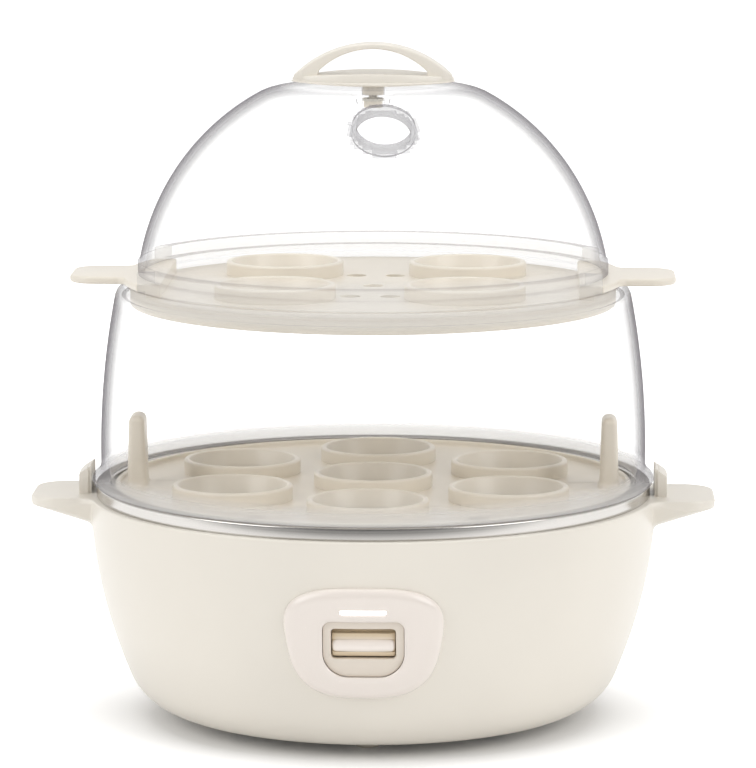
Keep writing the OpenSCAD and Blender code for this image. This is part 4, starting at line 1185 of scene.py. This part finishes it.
class COOKER_OT_dome(CookerStep, bpy.types.Operator):
    """Builds the clear dome with its stepped flange, steam vent and handle boss"""
    bl_idname = "cooker.dome"
    bl_label = "Clear dome"

    def build(self, context):
        covers = Millimetres(context.scene.cooker_covers)
        wall, foot, centre, top = covers.wall, covers.dome_foot, covers.dome_centre, covers.dome_top

        def side(inset, low, high):
            reach = covers.dome_radius - inset
            start = math.degrees(math.asin((low - centre) / reach))
            end = math.degrees(math.asin((high - centre) / reach))
            return [(x, z, 0.0) for x, z in arc(0, centre, reach, start, end, 40)]

        flange_top, neck, low = foot + covers.flange, covers.neck_radius, covers.neck_top + 0.3
        flat = math.sqrt(covers.dome_radius ** 2 - (top - centre) ** 2)
        section = rounded(
            [(neck - wall, low, 0.4), (neck, low, 0.5), (neck, flange_top, 0.8)]
            + side(0, flange_top + 0.2, top - 1.6)
            + [(flat + 0.7, top - 0.65, 0.0), (flat - 1.8, top, 0.0), (flat - 4.8, top + 0.5, 0.0),
               (covers.pad_radius + 1.5, top + 0.8, 0.3), (covers.pad_radius, covers.pad_top, 0.3),
               (0, covers.pad_top, 0.0),
               (0, top - wall, 0.0)]
            + list(reversed(side(wall, foot, top - wall - 0.6)))
            + [(neck - wall, foot, 0.3)], 5)
        dome = spun("dome_lid_clear", section, 220)
        gap, inside, beyond = covers.saddle_gap, covers.saddle_reach, 92.0
        reach = math.degrees(math.asin(gap / inside))
        notch = arc(0, 0, inside, reach, -reach, 32) + [(beyond, -gap), (beyond, gap)]
        for side_turn in (0.0, 180.0):
            cut = prism("notch", notch, [(0, low - 2), (0, flange_top + 2)])
            dome = combine(dome, moved(cut, spin_z(side_turn)), "DIFFERENCE")
        below, web, tip, waist, root = covers.boss_low, covers.boss_web, 5.1, 5.6, 9.2
        boss = rounded([(0, below, 0.0), (tip, below, 0.5), (waist, below + 2.2, 2.0),
                        (root, top - 1.2, 1.0), (root, top + 0.4, 0.0), (0, top + 0.4, 0.0)], 5)
        dome = combine(dome, spun("boss", boss, 64), "UNION")
        # A thin web stays in the boss: the spigot stands on it, and the screw pulls from below
        for size, under, over in ((covers.boss_bore, web + 1.1, top + 7.9),
                                  (1.65, web - 1.5, web + 2.5),
                                  (covers.boss_bore, below - 6.4, web)):
            dome = combine(dome, drum("bore", size, under, over, 0.1), "DIFFERENCE")
        aim = (shift(0, 0, centre) @ spin_z(math.degrees(context.scene.cooker_covers.vent_turn))
               @ Matrix.Rotation(math.pi / 2 - context.scene.cooker_covers.vent_elevation, 4, "X"))
        radius, rim, proud, depth = covers.dome_radius, 1.3, 0.8, 3.7
        collar = drum("collar", covers.vent_bore / 2 + rim, radius - depth, radius + proud, 0.5)
        dome = combine(dome, moved(collar, aim), "UNION")
        bore = drum("vent", covers.vent_bore / 2, radius - 20, radius + 10, 0.2)
        dome = combine(dome, moved(bore, aim), "DIFFERENCE")
        dress(context, dome, "lid", "clear_plastic", ["dome_lid"], look="clear_dome")
        line_inside(dome, finish(context, "clear_dome_inside"), centre)
        self.line_vent(dome, finish(context, "clear_vent"), aim, covers.vent_bore / 2 + wall + 0.3)

    def line_vent(self, dome, material, aim, reach):
        """Gives the ring round the steam vent its own finish."""
        dome.data.materials.append(material)
        back = aim.inverted()
        for face in dome.data.polygons:
            place = back @ face.center
            if place.z > 0 and math.hypot(place.x, place.y) < reach * MM:
                face.material_index = len(dome.data.materials) - 1


class COOKER_OT_lid_handle(CookerStep, bpy.types.Operator):
    """Builds the lid's handle: a pointed oval plate, an open arch and a spigot"""
    bl_idname = "cooker.lid_handle"
    bl_label = "Lid handle"

    def build(self, context):
        covers = Millimetres(context.scene.cooker_covers)
        half, depth = covers.knob_half, covers.knob_depth
        oval = (half * half + 4 * half + 4 + depth * depth) / (2 * depth)

        tip = 1.8

        def half_depth(x):
            wide = math.sqrt(oval ** 2 - x ** 2) - (oval - depth)
            end = max(0.0, abs(x) - (half - tip)) / tip
            return wide * math.sqrt(max(0.0, 1 - end ** 2)) if end else wide

        front = []
        for k in range(61):
            x = half * math.cos(math.pi * k / 60)
            front.append((x, half_depth(x)))
        outline = front + [(x, -y) for x, y in reversed(front[1:-1])]
        low, thick = covers.knob_z, covers.knob_thickness
        plate = prism("lid_handle_moulded", outline, [
            (0.5, low), (0.15, low + 0.1), (0.0, low + 0.35), (0.05, low + 0.75),
            (0.35, low + 0.95), (0.5, low + 1.1), (0.5, low + thick - 0.6),
            (0.68, low + thick - 0.18), (1.1, low + thick)])
        # Underside and top bend towards each other, so that the plate thins to its tips
        for vertex in plate.data.vertices:
            share = (vertex.co.z / MM - low) / thick
            bend = 0.8 * (1 - share) - 1.7 * share
            vertex.co.z += bend * MM * (vertex.co.x / MM / half) ** 2
        handle = combine(plate, self.arch(covers, half_depth), "UNION")
        spigot_r, bore_r = 3.4, 1.6
        spigot = drum("spigot", spigot_r, edge("lid_handle", LOW, "z"), low + 0.9, 0.3, bore_r)
        handle = combine(handle, spigot, "UNION")
        dress(context, handle, "lid", "cream_plastic", ["lid_handle"])

    def arch(self, covers, half_depth):
        """The arch between two circles, whose width follows the plate near its ends."""
        outer_r, open_r, crown = 36.0, 24.5, 1.8
        outer_z, open_z = covers.arch_top - outer_r, covers.arch_top - crown - open_r
        floor = covers.knob_z + covers.knob_thickness
        rings = []
        for k in range(-48, 49):
            x = (covers.knob_half - 1.0) * math.sin(math.radians(90 * k / 48))
            high = outer_z + math.sqrt(outer_r ** 2 - x ** 2)
            low = open_z + math.sqrt(max(0.0, open_r ** 2 - x ** 2))
            low = low if low > floor else floor - 2.2
            high = max(high, low + 1.2)
            wide = min(4.5, half_depth(x) - 0.5)
            corner = min(0.8, 0.4 * wide)
            outline = oblong(wide, low, high, (corner, 0.4), 4)
            rings.append([(x, y, z) for y, z in outline])
        return loft("arch", rings, False)


# ---- what repeats ----

def ring_tree():
    """Geometry nodes that set copies of a piece round the upright axis and give their material."""
    tree = bpy.data.node_groups.new("cooker_ring_of_pieces", "GeometryNodeTree")
    tree.is_modifier = True
    for name, kind in (("Piece", "NodeSocketObject"), ("Count", "NodeSocketInt"),
                       ("Ring radius", "NodeSocketFloat"), ("First angle", "NodeSocketFloat"),
                       ("Finish", "NodeSocketMaterial")):
        tree.interface.new_socket(name=name, in_out="INPUT", socket_type=kind)
    tree.interface.new_socket(name="Geometry", in_out="OUTPUT", socket_type="NodeSocketGeometry")
    source = add(tree, "NodeGroupInput").outputs
    ring = add(tree, "GeometryNodeMeshCircle", inputs={
        "Vertices": source["Count"], "Radius": source["Ring radius"]})
    turned = add(tree, "ShaderNodeCombineXYZ", inputs={"Z": source["First angle"]})
    laid = add(tree, "GeometryNodeTransform", inputs={
        "Geometry": ring.outputs["Mesh"], "Rotation": turned.outputs["Vector"]})
    piece = add(tree, "GeometryNodeObjectInfo", inputs={"Object": source["Piece"]})
    copies = add(tree, "GeometryNodeInstanceOnPoints", inputs={
        "Points": laid.outputs["Geometry"], "Instance": piece.outputs["Geometry"]})
    whole = add(tree, "GeometryNodeRealizeInstances", inputs={
        "Geometry": copies.outputs["Instances"]})
    painted = add(tree, "GeometryNodeSetMaterial", inputs={
        "Geometry": whole.outputs["Geometry"], "Material": source["Finish"]})
    add(tree, "NodeGroupOutput", inputs={"Geometry": painted.outputs["Geometry"]})
    return tree


def ring_of(name, piece, count, radius, first, material):
    """Copies of a piece round the upright axis as one plain mesh, through the ring tree."""
    tree = bpy.data.node_groups.get("cooker_ring_of_pieces") or ring_tree()
    whole = placed(name, bmesh.new())
    modifier = whole.modifiers.new("ring", "NODES")
    modifier.node_group = tree
    values = {"Piece": piece, "Count": count, "Ring radius": radius * MM,
              "First angle": math.radians(first), "Finish": material}
    for socket in tree.interface.items_tree:
        if socket.in_out == "INPUT":
            modifier[socket.identifier] = values[socket.name]
    bake(whole)
    dropped(piece)
    return whole


class COOKER_OT_feet(CookerStep, bpy.types.Operator):
    """Builds the ring of six soft feet"""
    bl_idname = "cooker.feet"
    bl_label = "Feet"

    def build(self, context):
        base = Millimetres(context.scene.cooker_base)
        tread, collar, plug, top = 3.9, 4.5, 2.0, base.underside + 2.4
        section = rounded([(0, 0, 0.0), (tread, 0, 0.9), (collar, base.underside, 0.3),
                           (plug, base.underside, 0.0), (plug, top, 0.3), (0, top, 0.0)], 5)
        feet = ring_of("foot_pads_soft", spun("foot", section, 48), 6, base.foot_ring, -90.0,
                       finish(context, "foot_rubber"))
        dress(context, feet, "base", "foot_rubber", ["foot_pads"])


class COOKER_OT_cover_screws(CookerStep, bpy.types.Operator):
    """Builds the ring of four screws that hold the bottom cover"""
    bl_idname = "cooker.cover_screws"
    bl_label = "Cover screws"

    def build(self, context):
        base = Millimetres(context.scene.cooker_base)
        low, high = edge("cover_screws", LOW, "z"), edge("cover_screws", HIGH, "z")
        head, shank, seat = 3.0, 1.5, low + 0.7
        section = rounded([(0, low, 0.0), (head, low, 0.4), (head, seat, 0.1),
                           (shank, seat, 0.0), (shank, high, 0.5), (0, high, 0.0)], 5)
        screw = spun("screw", section, 40)
        for turned in (45.0, 135.0):
            # Two crossed arms make the recess for the driver
            arm = oblong(1.7, -0.35, 0.35, (0.15, 0.15), 3)
            cut = prism("arm", arm, [(0, low - 1), (0, low + 0.45)])
            screw = combine(screw, moved(cut, spin_z(turned)), "DIFFERENCE")
        screws = ring_of("cover_screws_zinc", screw, 4, base.screw_ring, 45.0,
                         finish(context, "zinc_steel"))
        dress(context, screws, "base", "zinc_steel", ["cover_screws"])


class COOKER_OT_inner_parts(CookerStep, bpy.types.Operator):
    """Gives each CAD piece that is shown as it is the finish of its slot"""
    bl_idname = "cooker.inner_parts"
    bl_label = "Inner parts"

    def build(self, context):
        own = {"terminal_block": "terminal_block", "indicator_lamp": "indicator_lamp",
               "middle_tier": "clear_ring", "dome_lid": "clear_dome"}
        for part in frame["record"]["subparts"]:
            piece = frame["nodes"][part["node"]]
            material = finish(context, own.get(part["node"], part["material_slot"]))
            piece.data.materials.clear()
            piece.data.materials.append(material)


# ---- the stage ----

def lamp(name, place, aim, size, power):
    """A soft square area lamp that looks at a point. Lengths are in metres."""
    light = bpy.data.lights.new(name, "AREA")
    light.shape = "SQUARE"
    light.size = size
    light.energy = power
    holder = bpy.data.objects.new(name, light)
    holder.location = place
    holder.rotation_euler = (Vector(aim) - Vector(place)).to_track_quat("-Z", "Y").to_euler()
    bpy.context.scene.collection.objects.link(holder)
    return holder


def seen_rays(tree):
    """1 for rays from the camera, from gloss and through clear walls, else 0."""
    path = add(tree, "ShaderNodeLightPath").outputs
    either = sum_of(tree, "MAXIMUM", path["Is Camera Ray"], path["Is Glossy Ray"])
    return sum_of(tree, "MAXIMUM", either, path["Is Transmission Ray"])


class COOKER_OT_stage(CookerStep, bpy.types.Operator):
    """Builds the white stage: floor, backdrop light, lamps and camera"""
    bl_idname = "cooker.stage"
    bl_label = "Stage"

    def build(self, context):
        scene = context.scene
        scene.world = self.backdrop()
        floor = spun("floor", [(0, 0), (6000, 0), (6000, -10), (0, -10)], 96)
        floor.data.materials.append(self.paper())
        lamps = [
            lamp("left_lamp", (-1.4, -0.9, 0.95), (0, 0, 0.1), 1.2, 11.5),
            lamp("right_lamp", (1.4, -0.9, 0.95), (0, 0, 0.1), 1.2, 12.0),
            lamp("top_lamp", (0, 0.1, 2.1), (0, 0, 0.1), 1.6, 13.0),
        ]
        camera = bpy.data.cameras.new("camera")
        camera.lens = 214.8
        camera.sensor_width = 36.0
        camera.clip_end = 30.0
        eye = bpy.data.objects.new("camera", camera)
        # The eye stands a little to the right of the front and looks down, all in metres
        side, tip = math.radians(1.9), math.radians(8.589)
        distance, aside, height = 1.450, 0.00154, 0.3258
        eye.location = Vector((distance * math.sin(side) + aside * math.cos(side),
                               -distance * math.cos(side) + aside * math.sin(side), height))
        look = Vector((-math.sin(side) * math.cos(tip), math.cos(side) * math.cos(tip),
                       -math.sin(tip)))
        eye.rotation_euler = look.to_track_quat("-Z", "Y").to_euler()
        scene.collection.objects.link(eye)
        scene.camera = eye
        scene.view_settings.view_transform = "Standard"
        scene.cycles.transparent_max_bounces = 24

    def backdrop(self):
        """A white room whose near side is darker, so that metal and gloss are not flat white."""
        world = bpy.data.worlds.new("white_backdrop")
        world.use_nodes = True
        tree = world.node_tree
        tree.nodes.clear()
        way = add(tree, "ShaderNodeTexCoord").outputs["Generated"]
        room = mapped(tree, along(tree, way, "Y"), -0.99, -0.15, 0.16, 1.0)
        sky = add(tree, "ShaderNodeBackground", inputs={
            "Color": linear("#ffffff"),
            "Strength": mapped(tree, seen_rays(tree), 0.0, 1.0, 0.50, room)})
        add(tree, "ShaderNodeOutputWorld", inputs={"Surface": sky.outputs["Background"]})
        return world

    def paper(self):
        """Matt white paper. In the open it is lifted to white; close to the object the lift falls
        away with the ambient occlusion, so its shadow there is partly real shade and partly painted
        shadow.
        Its near side is painted dark, as painted shade for the darker part of the room."""
        material, tree, output, place = new_material("matt_white_paper")
        tint = ramp(tree, noise(tree, place, 700.0), [(0.0, grey(0.90)), (1.0, grey(0.92))])
        far_share = mapped(tree, along(tree, place, "Y"), -0.55, -0.25)
        # Painted shade: the near side is darker, 0.30 for the camera and gloss and 0.72 for other
        # light
        near_painted_shade = ramp(tree, seen_rays(tree), [(0.0, grey(0.72)), (1.0, grey(0.30))])
        # Painted shadow: the lift is taken away where the object is near
        near = add(tree, "ShaderNodeAmbientOcclusion", inputs={"Distance": 0.07}).outputs["AO"]
        lift = mapped(tree, near, 0.30, 0.85, 0.02, 0.62)
        lift = sum_of(tree, "MULTIPLY", lift, seen_rays(tree))
        body = principled(tree, {
            "Base Color": mixed(tree, far_share, near_painted_shade, tint), "Roughness": 0.9,
            "Specular IOR Level": 0.1, "Emission Color": linear("#ffffff"),
            "Emission Strength": sum_of(tree, "MULTIPLY", lift, far_share)})
        tree.links.new(body, output.inputs["Surface"])
        return material


# ---- add-on ----

PIECE_OPERATORS = (
    COOKER_OT_base, COOKER_OT_plate, COOKER_OT_bezel, COOKER_OT_rocker_frame, COOKER_OT_rocker,
    COOKER_OT_window, COOKER_OT_lower_tray, COOKER_OT_upper_tray, COOKER_OT_clear_ring,
    COOKER_OT_dome, COOKER_OT_lid_handle, COOKER_OT_feet, COOKER_OT_cover_screws,
    COOKER_OT_inner_parts, COOKER_OT_stage,
)


class COOKER_PT_panel(bpy.types.Panel):
    """Lists the cooker's sizes, its colours and the operators that build it"""
    bl_idname = "COOKER_PT_panel"
    bl_label = "Egg cooker"
    bl_space_type = "VIEW_3D"
    bl_region_type = "UI"
    bl_category = "Egg cooker"

    def draw(self, context):
        for name in SCENE_GROUPS:
            box = self.layout.box()
            group = getattr(context.scene, name)
            for key in group.bl_rna.properties.keys():
                if key not in {"rna_type", "name"}:
                    box.prop(group, key)
        for operator in PIECE_OPERATORS:
            self.layout.operator(operator.bl_idname)


SCENE_GROUPS = {
    "cooker_base": CookerBaseSizes,
    "cooker_switch": CookerSwitchSizes,
    "cooker_trays": CookerTraySizes,
    "cooker_covers": CookerCoverSizes,
    "cooker_tones": CookerTones,
}


def register():
    for group in (*SCENE_GROUPS.values(), *PIECE_OPERATORS, COOKER_PT_panel):
        bpy.utils.register_class(group)
    for name, group in SCENE_GROUPS.items():
        setattr(bpy.types.Scene, name, bpy.props.PointerProperty(type=group))


def unregister():
    for name in SCENE_GROUPS:
        delattr(bpy.types.Scene, name)
    for group in reversed((*SCENE_GROUPS.values(), *PIECE_OPERATORS, COOKER_PT_panel)):
        bpy.utils.unregister_class(group)


def main():
    register()
    for operator in PIECE_OPERATORS:
        family, action = operator.bl_idname.split(".")
        getattr(getattr(bpy.ops, family), action)()


if __name__ == "__main__":
    main()
